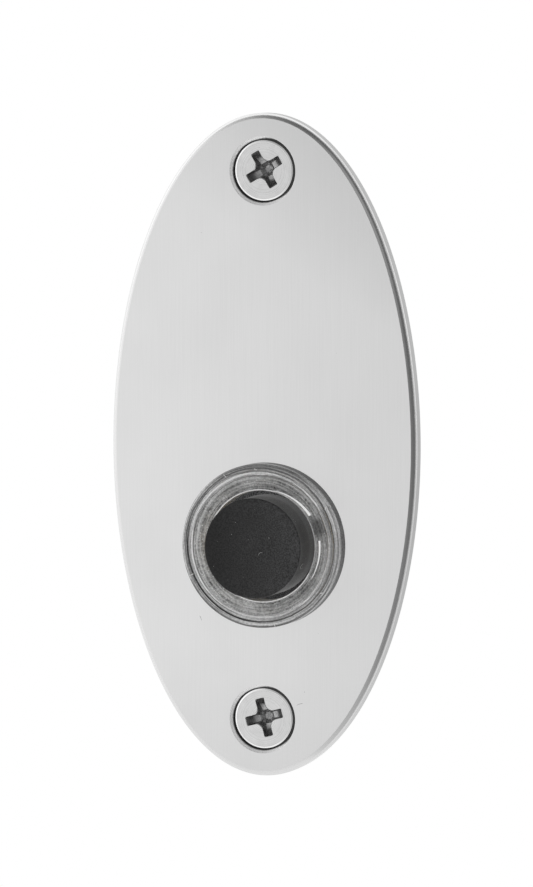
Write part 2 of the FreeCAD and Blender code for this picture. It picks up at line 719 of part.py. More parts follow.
def return_spring():
    """The middle of the wire rises by one closed coil, the open coils and another closed coil."""
    length = number(f"{SPRING_SEAT} - {BRIDGE_BACK}")
    wire, reach = number("spring_wire_diameter / 2"), number("spring_mean_diameter / 2")
    turns, ground = number("spring_turns"), number("spring_ground_depth")
    closed_rise = number("spring_wire_diameter + spring_coil_gap")
    open_rise = length - 2 * (wire - ground) - 2 * closed_rise
    steps = round(12 * turns)
    points = []
    for step in range(steps + 1):
        turn = turns * step / steps
        closed = min(turn, 1) + max(turn - turns + 1, 0)
        opened = min(max(turn - 1, 0) / (turns - 2), 1)
        height = wire - ground + closed_rise * closed + open_rise * opened
        angle = 2 * math.pi * turn
        points.append(FreeCAD.Vector(reach * math.cos(angle), reach * math.sin(angle), height))
    middle = Part.BSplineCurve()
    middle.interpolate(points)
    path = middle.toShape()
    section = Part.Wire(Part.makeCircle(wire, points[0], path.tangentAt(path.FirstParameter)))
    coil = Part.Wire([path]).makePipeShell([section], True, True)
    spring = doc.addObject("Part::Feature", "return_spring")
    spring.Label = "return_spring"
    spring.Shape = coil.common(Part.makeCylinder(2 * reach, length))
    spring.Placement.Rotation = FreeCAD.Rotation(FreeCAD.Vector(1, 0, 0), -90)
    on_push_axis(spring)
    bind(spring, Placement__Base__y=BRIDGE_BACK)
    return spring


# Pilot lamp: a small domed lamp with a collar, and its leads

def pilot_lamp():
    body = new_body("pilot_lamp", up="lamp_offset")
    glass, collar = "(lamp_diameter / 2)", "lamp_collar_diameter / 2"
    apex = f"({LAMP_BACK} - lamp_length)"
    blank = turned(body, "lamp_blank", [
        ("0", apex),
        (glass, apex),
        (glass, f"{LAMP_BACK} - lamp_collar_length"),
        (collar, f"{LAMP_BACK} - lamp_collar_length"),
        (collar, LAMP_BACK),
        ("0", LAMP_BACK)])
    rounded(body, "lamp_dome", blank, lambda edge: is_ring(edge, glass, apex), f"{glass} - seat_clearance")
    return body


def lamp_resistor():
    """Lies in the right-hand lead's slanting run, half way along it."""
    middle_x, middle_z = "(lead_elbow + lead_spacing / 2) / 2", "(lamp_offset + lead_landing) / 2"
    body = new_body("lamp_resistor", middle_x, middle_z)
    body.Placement.Rotation = FreeCAD.Rotation(FreeCAD.Vector(0, 1, 0), 1)
    bind(body, Placement__Base__y=LEAD_PLANE,
         Placement__Rotation__Angle="atan((lamp_offset - lead_landing) / (lead_elbow - lead_spacing / 2))")
    sketch = new_sketch(body, "resistor_profile", "XY_Plane")
    half = "resistor_length / 2"
    draw_corners(sketch, rectangle(f"-{half}", half, "0", "resistor_diameter / 2"))
    blank = body.newObject("PartDesign::Revolution", "resistor_blank")
    blank.Profile = sketch
    blank.ReferenceAxis = (sketch, ["H_Axis"])
    blank.Angle = 360
    rounded(body, "resistor_ends", blank, lambda edge: isinstance(edge.Curve, Part.Circle), "resistor_round")
    return body


def lead(label, route):
    """A round wire along straight runs joined by tangent arcs. Each point is three formulas."""
    points = [FreeCAD.Vector(*(number(place) for place in point)) for point in route]
    bend = number("lead_bend_radius")
    edges = []
    start = points[0]
    for before, corner, after in zip(points, points[1:], points[2:]):
        come = (before - corner).normalize()
        go = (after - corner).normalize()
        half_opening = come.getAngle(go) / 2
        setback = bend / math.tan(half_opening)
        towards_centre = (come + go).normalize()
        middle = corner + towards_centre * (bend / math.sin(half_opening) - bend)
        entry = corner + come * setback
        leave = corner + go * setback
        edges += [Part.LineSegment(start, entry).toShape(), Part.Arc(entry, middle, leave).toShape()]
        start = leave
    edges.append(Part.LineSegment(start, points[-1]).toShape())
    section = Part.Wire(Part.makeCircle(number("lead_diameter / 2"), points[0], points[1] - points[0]))
    wire = doc.addObject("Part::Feature", label)
    wire.Label = label
    wire.Shape = Part.Wire(edges).makePipeShell([section], True, True)
    on_push_axis(wire)
    return wire


def lamp_leads():
    """The left lead goes straight to its contact; the right one is broken by the resistor."""
    across, down = "(lead_elbow - lead_spacing / 2)", "(lamp_offset - lead_landing)"
    run = f"sqrt({across} ^ 2 + {down} ^ 2)"
    share = f"(resistor_length / 2 / {run})"
    middle_x, middle_z = "(lead_elbow + lead_spacing / 2) / 2", "(lamp_offset + lead_landing) / 2"
    start = [("lead_spacing / 2", LAMP_BACK, "lamp_offset"), ("lead_spacing / 2", LEAD_PLANE, "lamp_offset")]
    end = [("lead_elbow", LEAD_PLANE, "lead_landing"), (LEG_INSIDE, LEAD_PLANE, "lead_landing")]
    near = (f"{middle_x} - {across} * {share}", LEAD_PLANE, f"{middle_z} + {down} * {share}")
    far = (f"{middle_x} + {across} * {share}", LEAD_PLANE, f"{middle_z} - {down} * {share}")
    left = [(f"-({x})", y, z) for x, y, z in start + end]
    return [lead("left_lamp_lead", left), lead("right_lamp_lead", start + [near]),
            lead("resistor_lead", [far] + end)]


# The whole part

def build():
    parts = [
        face_plate(),
        mounting_screw("upper_mounting_screw", "", "upper_drive_turn"),
        mounting_screw("lower_mounting_screw", "-", "lower_drive_turn"),
        lens_housing(),
        push_button(),
        contact_bridge(),
        return_spring(),
        rear_base(),
        pilot_lamp(),
        lamp_resistor()]
    parts += lamp_leads()
    for name, side in (("left", "-"), ("right", "")):
        parts += [
            contact_rivet(f"{name}_bridge_contact", side, 1, BRIDGE_BACK, "bridge_thickness"),
            contact_rivet(f"{name}_strip_contact", side, -1, ARM_FRONT, "strip_thickness"),
            fixed_contact(f"{name}_fixed_contact", side),
            clamp_washer(f"{name}_clamp_washer", side),
            terminal_screw(f"{name}_terminal_screw", side)]
    doc.recompute()
    return parts


def write(parts):
    """Stops if anything in the document failed, and otherwise writes one file for each piece."""
    failed = [thing.Name for thing in doc.Objects if {"Invalid", "Error"} & set(thing.State)]
    if failed:
        raise RuntimeError(f"failed to build: {failed}")
    for part in parts:
        shape = part.Shape
        if shape.isNull() or not shape.isValid() or len(shape.Solids) != 1:
            raise RuntimeError(f"{part.Label} is not one valid solid")
        shape.exportStep(f"parts/{part.Label}.step")


write(build())
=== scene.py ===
import math

import bmesh
import bpy
from mathutils import Matrix, Vector

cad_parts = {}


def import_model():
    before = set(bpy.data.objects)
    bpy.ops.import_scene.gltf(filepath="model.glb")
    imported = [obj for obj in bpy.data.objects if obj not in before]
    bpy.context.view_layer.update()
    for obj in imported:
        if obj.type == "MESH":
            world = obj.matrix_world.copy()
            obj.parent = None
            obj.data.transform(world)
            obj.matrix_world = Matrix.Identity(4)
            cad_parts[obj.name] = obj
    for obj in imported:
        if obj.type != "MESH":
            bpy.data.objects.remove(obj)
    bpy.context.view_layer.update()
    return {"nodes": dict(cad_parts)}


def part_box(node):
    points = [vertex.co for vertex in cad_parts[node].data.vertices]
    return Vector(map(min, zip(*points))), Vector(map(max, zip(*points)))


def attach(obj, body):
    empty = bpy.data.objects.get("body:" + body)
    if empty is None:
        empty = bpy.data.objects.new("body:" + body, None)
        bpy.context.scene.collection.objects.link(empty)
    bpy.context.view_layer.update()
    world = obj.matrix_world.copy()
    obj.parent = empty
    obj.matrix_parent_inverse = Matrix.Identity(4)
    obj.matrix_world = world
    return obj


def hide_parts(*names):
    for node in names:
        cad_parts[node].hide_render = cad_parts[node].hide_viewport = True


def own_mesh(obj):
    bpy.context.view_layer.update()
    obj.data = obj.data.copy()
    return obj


# Looks of a doorbell push button, in the part's own frame: front -Y, up +Z, right +X.
# Lengths in the code are millimetres and MM turns them into Blender's metres.

MM = 0.001
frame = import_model()
nodes = frame["nodes"]
scene = bpy.context.scene


def middle(node):
    """The middle of a CAD node's box, in millimetres."""
    low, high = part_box(node)
    return [(a + b) / 2 / MM for a, b in zip(low, high)]


def reach(node, axis):
    """The ends of a CAD node's box along an axis, in millimetres."""
    low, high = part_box(node)
    return low[axis] / MM, high[axis] / MM


PUSH_X, _, PUSH_Z = middle("rear_base")
SCREW_Z = middle("upper_mounting_screw")[2]
FACE = reach("face_plate", 1)[0]

# Meshes


def solid(name, data):
    """An object of a mesh, to be shown, cut, or used to cut or join another."""
    piece = bpy.data.objects.new(name, data)
    scene.collection.objects.link(piece)
    return piece


def smoothed(piece, sharp, weighted=True):
    """Smooth shading up to an angle. With weighted, flats beside a round stay flat to the light."""
    piece.data.shade_smooth()
    piece.data.set_sharp_from_angle(angle=math.radians(sharp))
    if weighted:
        normals = piece.modifiers.new("normals", "WEIGHTED_NORMAL")
        normals.keep_sharp = True
        normals.weight = 80


def finish_mesh(name, data, materials, sharp=32, weighted=True):
    """A visible piece with its materials and its smooth shading."""
    piece = solid(name, data)
    for material in materials:
        data.materials.append(material)
    smoothed(piece, sharp, weighted)
    return piece


def ring_faces(rings, size):
    """Four-sided faces between closed rings of points that follow each other in a list."""
    faces = []
    for low in range(0, (rings - 1) * size, size):
        for step in range(size):
            after = (step + 1) % size
            faces.append((low + step, low + after, low + size + after, low + size + step))
    return faces


def from_lists(name, points, faces):
    """A clean mesh whose faces look outward."""
    data = bpy.data.meshes.new(name)
    data.from_pydata(points, [], faces)
    data.validate()
    shape = bmesh.new()
    shape.from_mesh(data)
    bmesh.ops.remove_doubles(shape, verts=shape.verts, dist=1e-8)
    bmesh.ops.recalc_face_normals(shape, faces=shape.faces)
    shape.to_mesh(data)
    shape.free()
    return data


def round_corner(before, here, after, size, steps):
    """The points of an arc that rounds the corner at here between its two neighbours."""
    ax, ay = before[0] - here[0], before[1] - here[1]
    bx, by = after[0] - here[0], after[1] - here[1]
    a, b = math.hypot(ax, ay), math.hypot(bx, by)
    ax, ay, bx, by = ax / a, ay / a, bx / b, by / b
    half = math.acos(max(-1, min(1, ax * bx + ay * by))) / 2
    setback = size / math.tan(half)
    mx, my = ax + bx, ay + by
    m = math.hypot(mx, my)
    hub_x, hub_y = here[0] + mx / m * size / math.sin(half), here[1] + my / m * size / math.sin(half)
    first = math.atan2(here[1] + ay * setback - hub_y, here[0] + ax * setback - hub_x)
    last = math.atan2(here[1] + by * setback - hub_y, here[0] + bx * setback - hub_x)
    swing = (last - first + math.pi) % (2 * math.pi) - math.pi
    angles = [first + swing * step / steps for step in range(steps + 1)]
    return [(hub_x + size * math.cos(angle), hub_y + size * math.sin(angle)) for angle in angles]


def eased(corners, steps=5, hold=0.03):
    """A closed outline whose corners are rounded. Each corner is two numbers and its round's radius.
    A point a hold away at each side of a round keeps the flats beside it flat to the light."""
    points = []
    count = len(corners)
    for place, corner in enumerate(corners):
        if len(corner) > 2 and corner[2]:
            before, after = corners[place - 1], corners[(place + 1) % count]
            arc = round_corner(before, corner, after, corner[2], steps)
            if hold:
                arc = [toward(arc[0], before, hold)] + arc + [toward(arc[-1], after, hold)]
            points += arc
        else:
            points.append(tuple(corner[:2]))
    return points


def toward(start, end, step):
    """A point a step from start on the way to end, or halfway where the way is short."""
    far = math.hypot(end[0] - start[0], end[1] - start[1])
    share = min(step / far, 0.4) if far > 1e-9 else 0
    return start[0] + (end[0] - start[0]) * share, start[1] + (end[1] - start[1]) * share


def turned_mesh(name, profile, segments=160, closed=False):
    """The mesh of a profile of radii and places along Y, turned about Y."""
    points, faces, rows = [], [], []
    for radius, along in profile:
        if radius < 1e-6:
            rows.append([len(points)] * segments)
            points.append((0, along * MM, 0))
            continue
        rows.append(list(range(len(points), len(points) + segments)))
        for step in range(segments):
            turn = 2 * math.pi * step / segments
            points.append((radius * MM * math.cos(turn), along * MM, radius * MM * math.sin(turn)))
    pairs = list(zip(rows, rows[1:]))
    if closed:
        pairs.append((rows[-1], rows[0]))
    for first, second in pairs:
        for step in range(segments):
            after = (step + 1) % segments
            ring = [first[step], first[after], second[after], second[step]]
            corners = [corner for place, corner in enumerate(ring) if corner != ring[place - 1]]
            if len(corners) > 2:
                faces.append(corners)
    return from_lists(name, points, faces)


def moved(data, x=0, y=0, z=0, turn=0):
    """Turns a mesh about Y by an angle as seen from the front, and moves it, in millimetres."""
    data.transform(Matrix.Rotation(-turn, 4, "Y"))
    data.transform(Matrix.Translation((x * MM, y * MM, z * MM)))
    return data


def applied(piece):
    """Turns a piece's modifiers into plain mesh."""
    graph = bpy.context.evaluated_depsgraph_get()
    data = bpy.data.meshes.new_from_object(piece.evaluated_get(graph))
    old = piece.data
    piece.modifiers.clear()
    piece.data = data
    if old.users == 0:
        bpy.data.meshes.remove(old)
    return piece


def combined(piece, tools, operation="DIFFERENCE"):
    """Cuts tools from a piece, or joins them to it, and removes them."""
    for tool in tools:
        step = piece.modifiers.new("combine", "BOOLEAN")
        step.operation = operation
        step.solver = "EXACT"
        step.object = tool
    applied(piece)
    for tool in tools:
        old = tool.data
        bpy.data.objects.remove(tool)
        bpy.data.meshes.remove(old)
    return piece


def cutter(data):
    return solid(data.name, data)


def taken(piece):
    """The finished mesh of a working object, which is removed."""
    data = piece.data.copy()
    bpy.data.objects.remove(piece)
    return data


def block(name, low, high):
    """A closed box between two corners in millimetres, used to cut or join."""
    shape = bmesh.new()
    bmesh.ops.create_cube(shape, size=1)
    for vertex in shape.verts:
        for axis in range(3):
            vertex.co[axis] = (low[axis] if vertex.co[axis] < 0 else high[axis]) * MM
    data = bpy.data.meshes.new(name)
    shape.to_mesh(data)
    shape.free()
    return data


def tube(name, centres, size, sides, low=None, high=None):
    """A round wire along a row of points, with closed ends, ground flat at the places low and high along Y."""
    points = []
    count = len(centres)
    up = Vector((0, 1, 0))
    for place, centre in enumerate(centres):
        ahead = (centres[min(place + 1, count - 1)] - centres[max(place - 1, 0)]).normalized()
        across = ahead.cross(up).normalized()
        rise = across.cross(ahead).normalized()
        for step in range(sides):
            turn = 2 * math.pi * step / sides
            point = centre + (across * math.cos(turn) + rise * math.sin(turn)) * size
            if low is not None:
                point.y = min(max(point.y, low), high)
            points.append(point * MM)
    ends = [tuple(range(sides)), tuple(range((count - 1) * sides, count * sides))]
    return from_lists(name, points, ring_faces(count, sides) + ends)


# Materials. Object coordinates are metres, so the places in their ramps are metres too


def new_material(name):
    material = bpy.data.materials.new(name)
    material.use_nodes = True
    tree = material.node_tree
    shader = next(node for node in tree.nodes if node.type == "BSDF_PRINCIPLED")
    return material, tree, shader


def feed(tree, node, sources):
    """Joins a node's inputs to other nodes' outputs."""
    for name, source in sources.items():
        tree.links.new(source, node.inputs[name])


def add(tree, kind, links=None, **values):
    """A shader node. values set inputs by name, or properties; links join inputs to other nodes' outputs."""
    node = tree.nodes.new(kind)
    for name, value in values.items():
        if hasattr(node, name):
            setattr(node, name, value)
        else:
            node.inputs[name].default_value = value
    feed(tree, node, links or {})
    return node


def place_in(tree):
    """Where the shaded point is, in metres from the part's origin."""
    return add(tree, "ShaderNodeTexCoord").outputs["Object"]


def parts_of(tree, vector):
    parts = add(tree, "ShaderNodeSeparateXYZ", {"Vector": vector})
    return [parts.outputs[axis] for axis in "XYZ"]


def from_axis(tree, x, z, unit=1):
    """The way to the shaded point from an axis along Y, square to that axis, and its length."""
    shifted = add(tree, "ShaderNodeVectorMath", {0: place_in(tree)}, operation="SUBTRACT")
    shifted.inputs[1].default_value = (x * MM, 0, z * MM)
    flat = add(tree, "ShaderNodeVectorMath", {0: shifted.outputs[0]}, operation="MULTIPLY")
    flat.inputs[1].default_value = (unit, 0, unit)
    radius = add(tree, "ShaderNodeVectorMath", {0: flat.outputs[0]}, operation="LENGTH")
    return flat.outputs[0], radius.outputs["Value"]


def stretched(tree, scale):
    """Object coordinates multiplied along each axis, or along all by one number."""
    mapping = add(tree, "ShaderNodeMapping", {"Vector": place_in(tree)})
    mapping.inputs["Scale"].default_value = scale if isinstance(scale, tuple) else (scale, scale, scale)
    return mapping.outputs["Vector"]


def noise(tree, vector, detail=2, roughness=0.5):
    return add(tree, "ShaderNodeTexNoise", {"Vector": vector}, Scale=1, Detail=detail,
               Roughness=roughness).outputs["Fac"]


def speckle(tree, scale, detail=2, roughness=0.5):
    return noise(tree, stretched(tree, scale), detail, roughness)


def span(tree, source, low, high, to_low, to_high):
    """Maps low to high onto to_low to to_high, and stays level beyond."""
    node = add(tree, "ShaderNodeMapRange", {"Value": source})
    for name, value in (("From Min", low), ("From Max", high), ("To Min", to_low), ("To Max", to_high)):
        node.inputs[name].default_value = value
    return node.outputs["Result"]


def maths(tree, operation, *sources):
    """Joins numbers and outputs by an operation, from the left."""
    result = sources[0]
    for source in sources[1:]:
        node = add(tree, "ShaderNodeMath", operation=operation)
        for socket, value in zip(node.inputs, (result, source)):
            if isinstance(value, (int, float)):
                socket.default_value = value
            else:
                tree.links.new(value, socket)
        result = node.outputs["Value"]
    return result


def plus(tree, *sources):
    return maths(tree, "ADD", *sources)


def times(tree, *sources):
    return maths(tree, "MULTIPLY", *sources)


def ramp(tree, source, stops):
    """A value that runs straight from stop to stop. Each stop is a place and a level."""
    steps = [span(tree, source, low, high, 0, second - first)
             for (low, first), (high, second) in zip(stops, stops[1:])]
    return plus(tree, stops[0][1], *steps)


def tinted(tree, factor, dark, light):
    """A colour between two, by a factor. A colour is three numbers, or one for a grey."""
    node = add(tree, "ShaderNodeMix", {"Factor": factor}, data_type="RGBA")
    for socket, tint in zip(node.inputs[6:8], (dark, light)):
        socket.default_value = (*tint, 1) if isinstance(tint, tuple) else (tint, tint, tint, 1)
    return node.outputs[2]


def dimmed(tree, colour, level):
    return add(tree, "ShaderNodeVectorMath", {0: colour, "Scale": level}, operation="SCALE").outputs[0]


def bumped(tree, shader, height, strength, distance):
    node = add(tree, "ShaderNodeBump", {"Height": height}, Strength=strength, Distance=distance)
    tree.links.new(node.outputs["Normal"], shader.inputs["Normal"])


def brushed_nickel():
    """Satin metal with fine upright brushing and faint smudges. Its colour is painted a little darker at the plate's
    top, right and bottom as painted shade, and it is smoother on the rim than on the face and the back."""
    material, tree, shader = new_material("satin_nickel_brushed")
    shader.inputs["Metallic"].default_value = 1
    lines = speckle(tree, (9000, 9000, 140), 3)
    broad = speckle(tree, (1500, 1500, 30))
    smudge = speckle(tree, (120, 120, 90), 3)
    grain = plus(tree, times(tree, lines, 0.7), times(tree, broad, 0.3))
    x, y, z = parts_of(tree, place_in(tree))
    across, upward = maths(tree, "DIVIDE", x, 0.0214), maths(tree, "DIVIDE", z, 0.0445)
    # painted shade: the plate's colour darkens toward its top, its bottom and its right
    painted_plate_shade = times(tree, span(tree, plus(tree, upward, times(tree, across, 0.3)), 0.6, 1.0, 1.0, 0.87),
                 span(tree, upward, -1.0, -0.7, 0.94, 1.0), span(tree, across, -1.0, 1.0, 1.03, 0.965))
    rim = ramp(tree, y, ((-0.00238, 0.0), (-0.0022, 0.13), (-0.0006, 0.13), (-0.0002, 0.0)))
    rough = plus(tree, span(tree, grain, 0.3, 0.7, 0.30, 0.38), span(tree, smudge, 0.4, 0.7, -0.015, 0.03))
    feed(tree, shader, {"Base Color": dimmed(tree, tinted(tree, grain, 0.715, 0.815), painted_plate_shade),
                        "Roughness": maths(tree, "SUBTRACT", rough, rim)})
    bumped(tree, shader, grain, 0.08, 0.00002)
    return material


def plain_metal(name, dark, light, roughness=(0.25, 0.38), scale=3000, bump=0.05):
    material, tree, shader = new_material(name)
    shader.inputs["Metallic"].default_value = 1
    grain = speckle(tree, scale, 3)
    feed(tree, shader, {"Base Color": tinted(tree, grain, dark, light),
                        "Roughness": span(tree, grain, 0.3, 0.7, *roughness)})
    bumped(tree, shader, grain, bump, 0.00002)
    return material


def turned_metal(name, x, z):
    """Plated metal with fine rings of turning round an axis along Y."""
    material, tree, shader = new_material(name)
    shader.inputs["Metallic"].default_value = 1
    rings = add(tree, "ShaderNodeTexNoise", noise_dimensions="1D", Scale=1, Detail=0)
    feed(tree, rings, {"W": times(tree, from_axis(tree, x, z)[1], 9000)})
    grain = plus(tree, times(tree, rings.outputs["Fac"], 0.5), times(tree, speckle(tree, 1100, 4), 0.5))
    feed(tree, shader, {"Base Color": tinted(tree, grain, 0.46, 0.88),
                        "Roughness": span(tree, grain, 0.3, 0.7, 0.26, 0.36)})
    bumped(tree, shader, grain, 0.1, 0.00002)
    return material


def button_painted_shade_and_dust(tree, colour):
    """Makes the button's colour darker on the left and down its side, which is painted shade, paler in the gap round
    it with dust and painted light, more so toward the top, and flecked.
    """
    x, y, z = parts_of(tree, place_in(tree))
    # painted shade down the button's side; dust and painted light deep in the gap round it
    painted_side_shade = ramp(tree, y, ((-0.0087, 0.8), (-0.0074, 0.12), (-0.0024, 0.3)))
    dust_and_painted_gap_light = ramp(tree, y, ((-0.0056, 0.0), (-0.0050, 0.3), (-0.0044, 2.0), (-0.0030, 2.0),
                           (-0.0024, 0.0), (-0.0021, 7.0), (-0.0019, 7.0), (-0.0017, 0.0)))
    # painted light and shade: darker on the left, lighter on the right, and the gap's painted light stronger toward
    # the top
    level = plus(tree, times(tree, span(tree, x, -0.006, 0.007, 0.4, 1.8), painted_side_shade),
                 times(tree, dust_and_painted_gap_light, span(tree, z, -0.0195, -0.0069, 0.5, 1.3)))
    spots = add(tree, "ShaderNodeTexVoronoi", {"Vector": stretched(tree, 650)}, Scale=1)
    flecked = tinted(tree, maths(tree, "LESS_THAN", spots.outputs["Distance"], 0.035), 0.0, 0.3)
    tree.links.new(dimmed(tree, colour, level), flecked.node.inputs[6])
    return flecked


def grained_plastic(name, dark, light, roughness, scale, bump, gloss=0.5, shade_and_dust=None):
    """Moulded plastic with a fine even grain. gloss is how strongly it mirrors."""
    material, tree, shader = new_material(name)
    shader.inputs["Specular IOR Level"].default_value = gloss
    grain = speckle(tree, scale, 3, 0.6)
    mixed = plus(tree, span(tree, grain, 0.38, 0.62, 0, 0.86), span(tree, speckle(tree, 300, 3), 0.35, 0.65, 0, 0.14))
    colour = tinted(tree, mixed, dark, light)
    feed(tree, shader, {"Base Color": shade_and_dust(tree, colour) if shade_and_dust else colour,
                        "Roughness": span(tree, grain, 0.3, 0.7, *roughness)})
    bumped(tree, shader, grain, bump, 0.00003)
    return material


def ring_waves(tree, size):
    """Noise that runs in rings round the push axis."""
    flat, radius = from_axis(tree, PUSH_X, PUSH_Z)
    across = add(tree, "ShaderNodeVectorMath", {0: flat}, operation="NORMALIZE")
    slow = add(tree, "ShaderNodeVectorMath", {0: across.outputs[0]}, operation="SCALE", Scale=1.1)
    away = add(tree, "ShaderNodeCombineXYZ", {"Y": times(tree, radius, size)})
    both = add(tree, "ShaderNodeVectorMath", {0: slow.outputs[0], 1: away.outputs[0]}, operation="ADD")
    return noise(tree, both.outputs[0], 3, 0.55)


def clear_plastic(name, roughness, tint, ior):
    material, tree, shader = new_material(name)
    shader.inputs["IOR"].default_value = ior
    shader.inputs["Transmission Weight"].default_value = 1
    shader.inputs["Base Color"].default_value = (*tint, 1)
    waves = plus(tree, times(tree, speckle(tree, 700, 3), 0.5), times(tree, ring_waves(tree, 5000), 0.5))
    feed(tree, shader, {"Roughness": span(tree, waves, 0.3, 0.7, *roughness)})
    bumped(tree, shader, waves, 0.15, 0.00003)
    return material


def countersunk_metal():
    """The cut cone of a screw hole: painted near white with little metal at its mouth as a painted highlight, and
    painted near black down in the gap round the head as painted shade. The painted shade stands higher toward the
    right and the top."""
    material, tree, shader = new_material("satin_nickel_countersink")
    x, y, z = parts_of(tree, place_in(tree))
    speck = speckle(tree, 4000, 3)
    side = add(tree, "ShaderNodeMath", {0: z}, operation="SIGN")
    up = maths(tree, "SUBTRACT", z, times(tree, side.outputs[0], SCREW_Z * MM))
    # the painted shade reaches further up the cone toward the right and the top
    raised = span(tree, plus(tree, x, times(tree, up, 0.35)), 0.0005, 0.0036, 0, 0.0003)
    painted_gap_shade = span(tree, plus(tree, y, raised, times(tree, speck, 0.00008)), -0.00218, -0.00204, 0, 1)
    rough = plus(tree, span(tree, speck, 0.3, 0.7, 0.2, 0.3), times(tree, painted_gap_shade, 0.4))
    # painted highlight: near white with little metal where clear of the painted shade; painted shade: near black in
    # the gap
    feed(tree, shader, {"Base Color": tinted(tree, painted_gap_shade, 0.95, 0.012),
                        "Metallic": span(tree, painted_gap_shade, 0, 1, 0.2, 0), "Roughness": rough})
    bumped(tree, shader, speck, 0.15, 0.00002)
    return material


def drive_metal():
    """The pressed faces inside a screw's recess: painted dark as painted shade, uneven, with a floor painted paler as
    painted light.
    """
    material, tree, shader = new_material("screw_recess")
    shader.inputs["Metallic"].default_value = 0.85
    mixed = plus(tree, span(tree, speckle(tree, 3500, 3), 0.35, 0.65, 0, 0.5),
                 span(tree, speckle(tree, 1200), 0.35, 0.65, 0, 0.5))
    painted_floor_light = span(tree, parts_of(tree, place_in(tree))[1], -0.0009, -0.0005, 0, 0.5)
    # painted shade on the recess walls, painted light on its floor
    feed(tree, shader, {"Base Color": tinted(tree, plus(tree, times(tree, mixed, 0.5), painted_floor_light), 0.12, 0.62),
                        "Roughness": span(tree, mixed, 0, 1, 0.3, 0.45)})
    bumped(tree, shader, mixed, 0.5, 0.00004)
    return material


def ringed_plastic():
    """The lens's outer ring: clear plastic whose colour runs in rings by radius, paler and darker in turn, with wavy
    ring noise. It is painted lighter on the left as painted light, and painted darker at the top of its edge and down
    its outer wall toward the plate as painted shade. Radii here are mm.
    """
    material, tree, shader = new_material("clear_lens_ringed")
    shader.inputs["IOR"].default_value = 1.45
    shader.inputs["Transmission Weight"].default_value = 0.4
    flat, radius = from_axis(tree, PUSH_X, PUSH_Z, 1 / MM)
    x, _, z = parts_of(tree, flat)
    fine = speckle(tree, 3200, 3, 0.6)
    wander = times(tree, maths(tree, "SUBTRACT", speckle(tree, 420), 0.5), 0.35)
    away = maths(tree, "SUBTRACT", plus(tree, radius, wander), times(tree, z, 0.017))
    bands = ramp(tree, away, ((9.3, 0.26), (9.46, 0.3), (9.56, 0.85), (9.7, 0.8), (9.8, 0.35), (10.0, 0.4),
                              (10.14, 0.3), (10.22, 0.05), (10.38, 0.07), (10.46, 0.5), (10.58, 0.28),
                              (10.7, 0.6), (10.84, 0.5), (10.9, 0.1)))
    depth = parts_of(tree, place_in(tree))[1]
    # painted shade: the outer wall darkens toward the plate
    wall = ramp(tree, depth, ((-0.0054, 0.6), (-0.0050, 0.5), (-0.0044, 0.4), (-0.0038, 0.25), (-0.0024, 0.2)))
    on_wall = span(tree, radius, 10.9, 10.97, 0, 1)
    bands = plus(tree, times(tree, bands, maths(tree, "SUBTRACT", 1, on_wall)), times(tree, wall, on_wall))
    rings = span(tree, ring_waves(tree, 5500), 0.36, 0.64, 0.45, 1.55)
    mottle = span(tree, fine, 0.38, 0.62, 0.8, 1.2)
    # painted light on the left; painted shade at the top of the ring's edge
    side = span(tree, x, -11, 11, 1.3, 0.9)
    top = times(tree, span(tree, z, 6, 10, 0, 1), span(tree, radius, 10.5, 10.7, 0, 0.75))
    bands = times(tree, bands, rings, mottle, side, maths(tree, "SUBTRACT", 1, top))
    feed(tree, shader, {"Base Color": tinted(tree, bands, 0, 1), "Roughness": span(tree, fine, 0.3, 0.7, 0.08, 0.25)})
    bumped(tree, shader, rings, 0.4, 0.00004)
    return material


def frosted_plastic():
    """The worn inner ring of the lens: pale, rough and mottled, with rings of moulding, small bright flecks and one
    dark patch beside the key, which is painted shade. It is painted a little lighter toward the left as painted
    light."""
    material, tree, shader = new_material("clear_lens_frosted")
    shader.inputs["IOR"].default_value = 1.49
    shader.inputs["Transmission Weight"].default_value = 0.25
    fine, broad = speckle(tree, 3600, 4, 0.65), speckle(tree, 900)
    spots = add(tree, "ShaderNodeTexVoronoi", {"Vector": stretched(tree, 2600)}, Scale=1)
    flecks = times(tree, span(tree, spots.outputs["Distance"], 0.18, 0.28, 1, 0),
                   span(tree, broad, 0.48, 0.54, 0, 1), 0.9)
    mixed = plus(tree, span(tree, fine, 0.38, 0.62, 0, 0.32), span(tree, broad, 0.35, 0.65, 0, 0.2),
                 span(tree, ring_waves(tree, 4200), 0.4, 0.6, 0, 0.48), flecks)
    place = place_in(tree)
    far = add(tree, "ShaderNodeVectorMath", {0: place}, operation="DISTANCE")
    far.inputs[1].default_value = ((PUSH_X + 7.9) * MM, -4.9 * MM, (PUSH_Z + 2.7) * MM)
    # painted shade over the keyway, and painted light toward the left
    shade = times(tree, span(tree, far.outputs["Value"], 0.0008, 0.0016, 0.35, 1.0),
                  span(tree, parts_of(tree, place)[0], -0.0090, 0.0095, 1.2, 0.95))
    feed(tree, shader, {"Base Color": dimmed(tree, tinted(tree, mixed, 0.03, 0.9), shade),
                        "Roughness": span(tree, mixed, 0, 1, 0.28, 0.5)})
    bumped(tree, shader, mixed, 1, 0.0001)
    return material


NICKEL = brushed_nickel()
BUTTON = grained_plastic("button_black_grain", 0.004, (0.05, 0.05, 0.051), (0.36, 0.56), 5600, 1.0, 0.3, button_painted_shade_and_dust)
COUNTERSINK = countersunk_metal()
DRIVE = drive_metal()
BASE = grained_plastic("base_moulded", (0.62, 0.60, 0.545), (0.74, 0.72, 0.66), (0.42, 0.55), 1500, 0.12)
BRASS = plain_metal("brass_rolled", (0.66, 0.49, 0.22), (0.80, 0.62, 0.32), scale=(900, 6000, 6000))
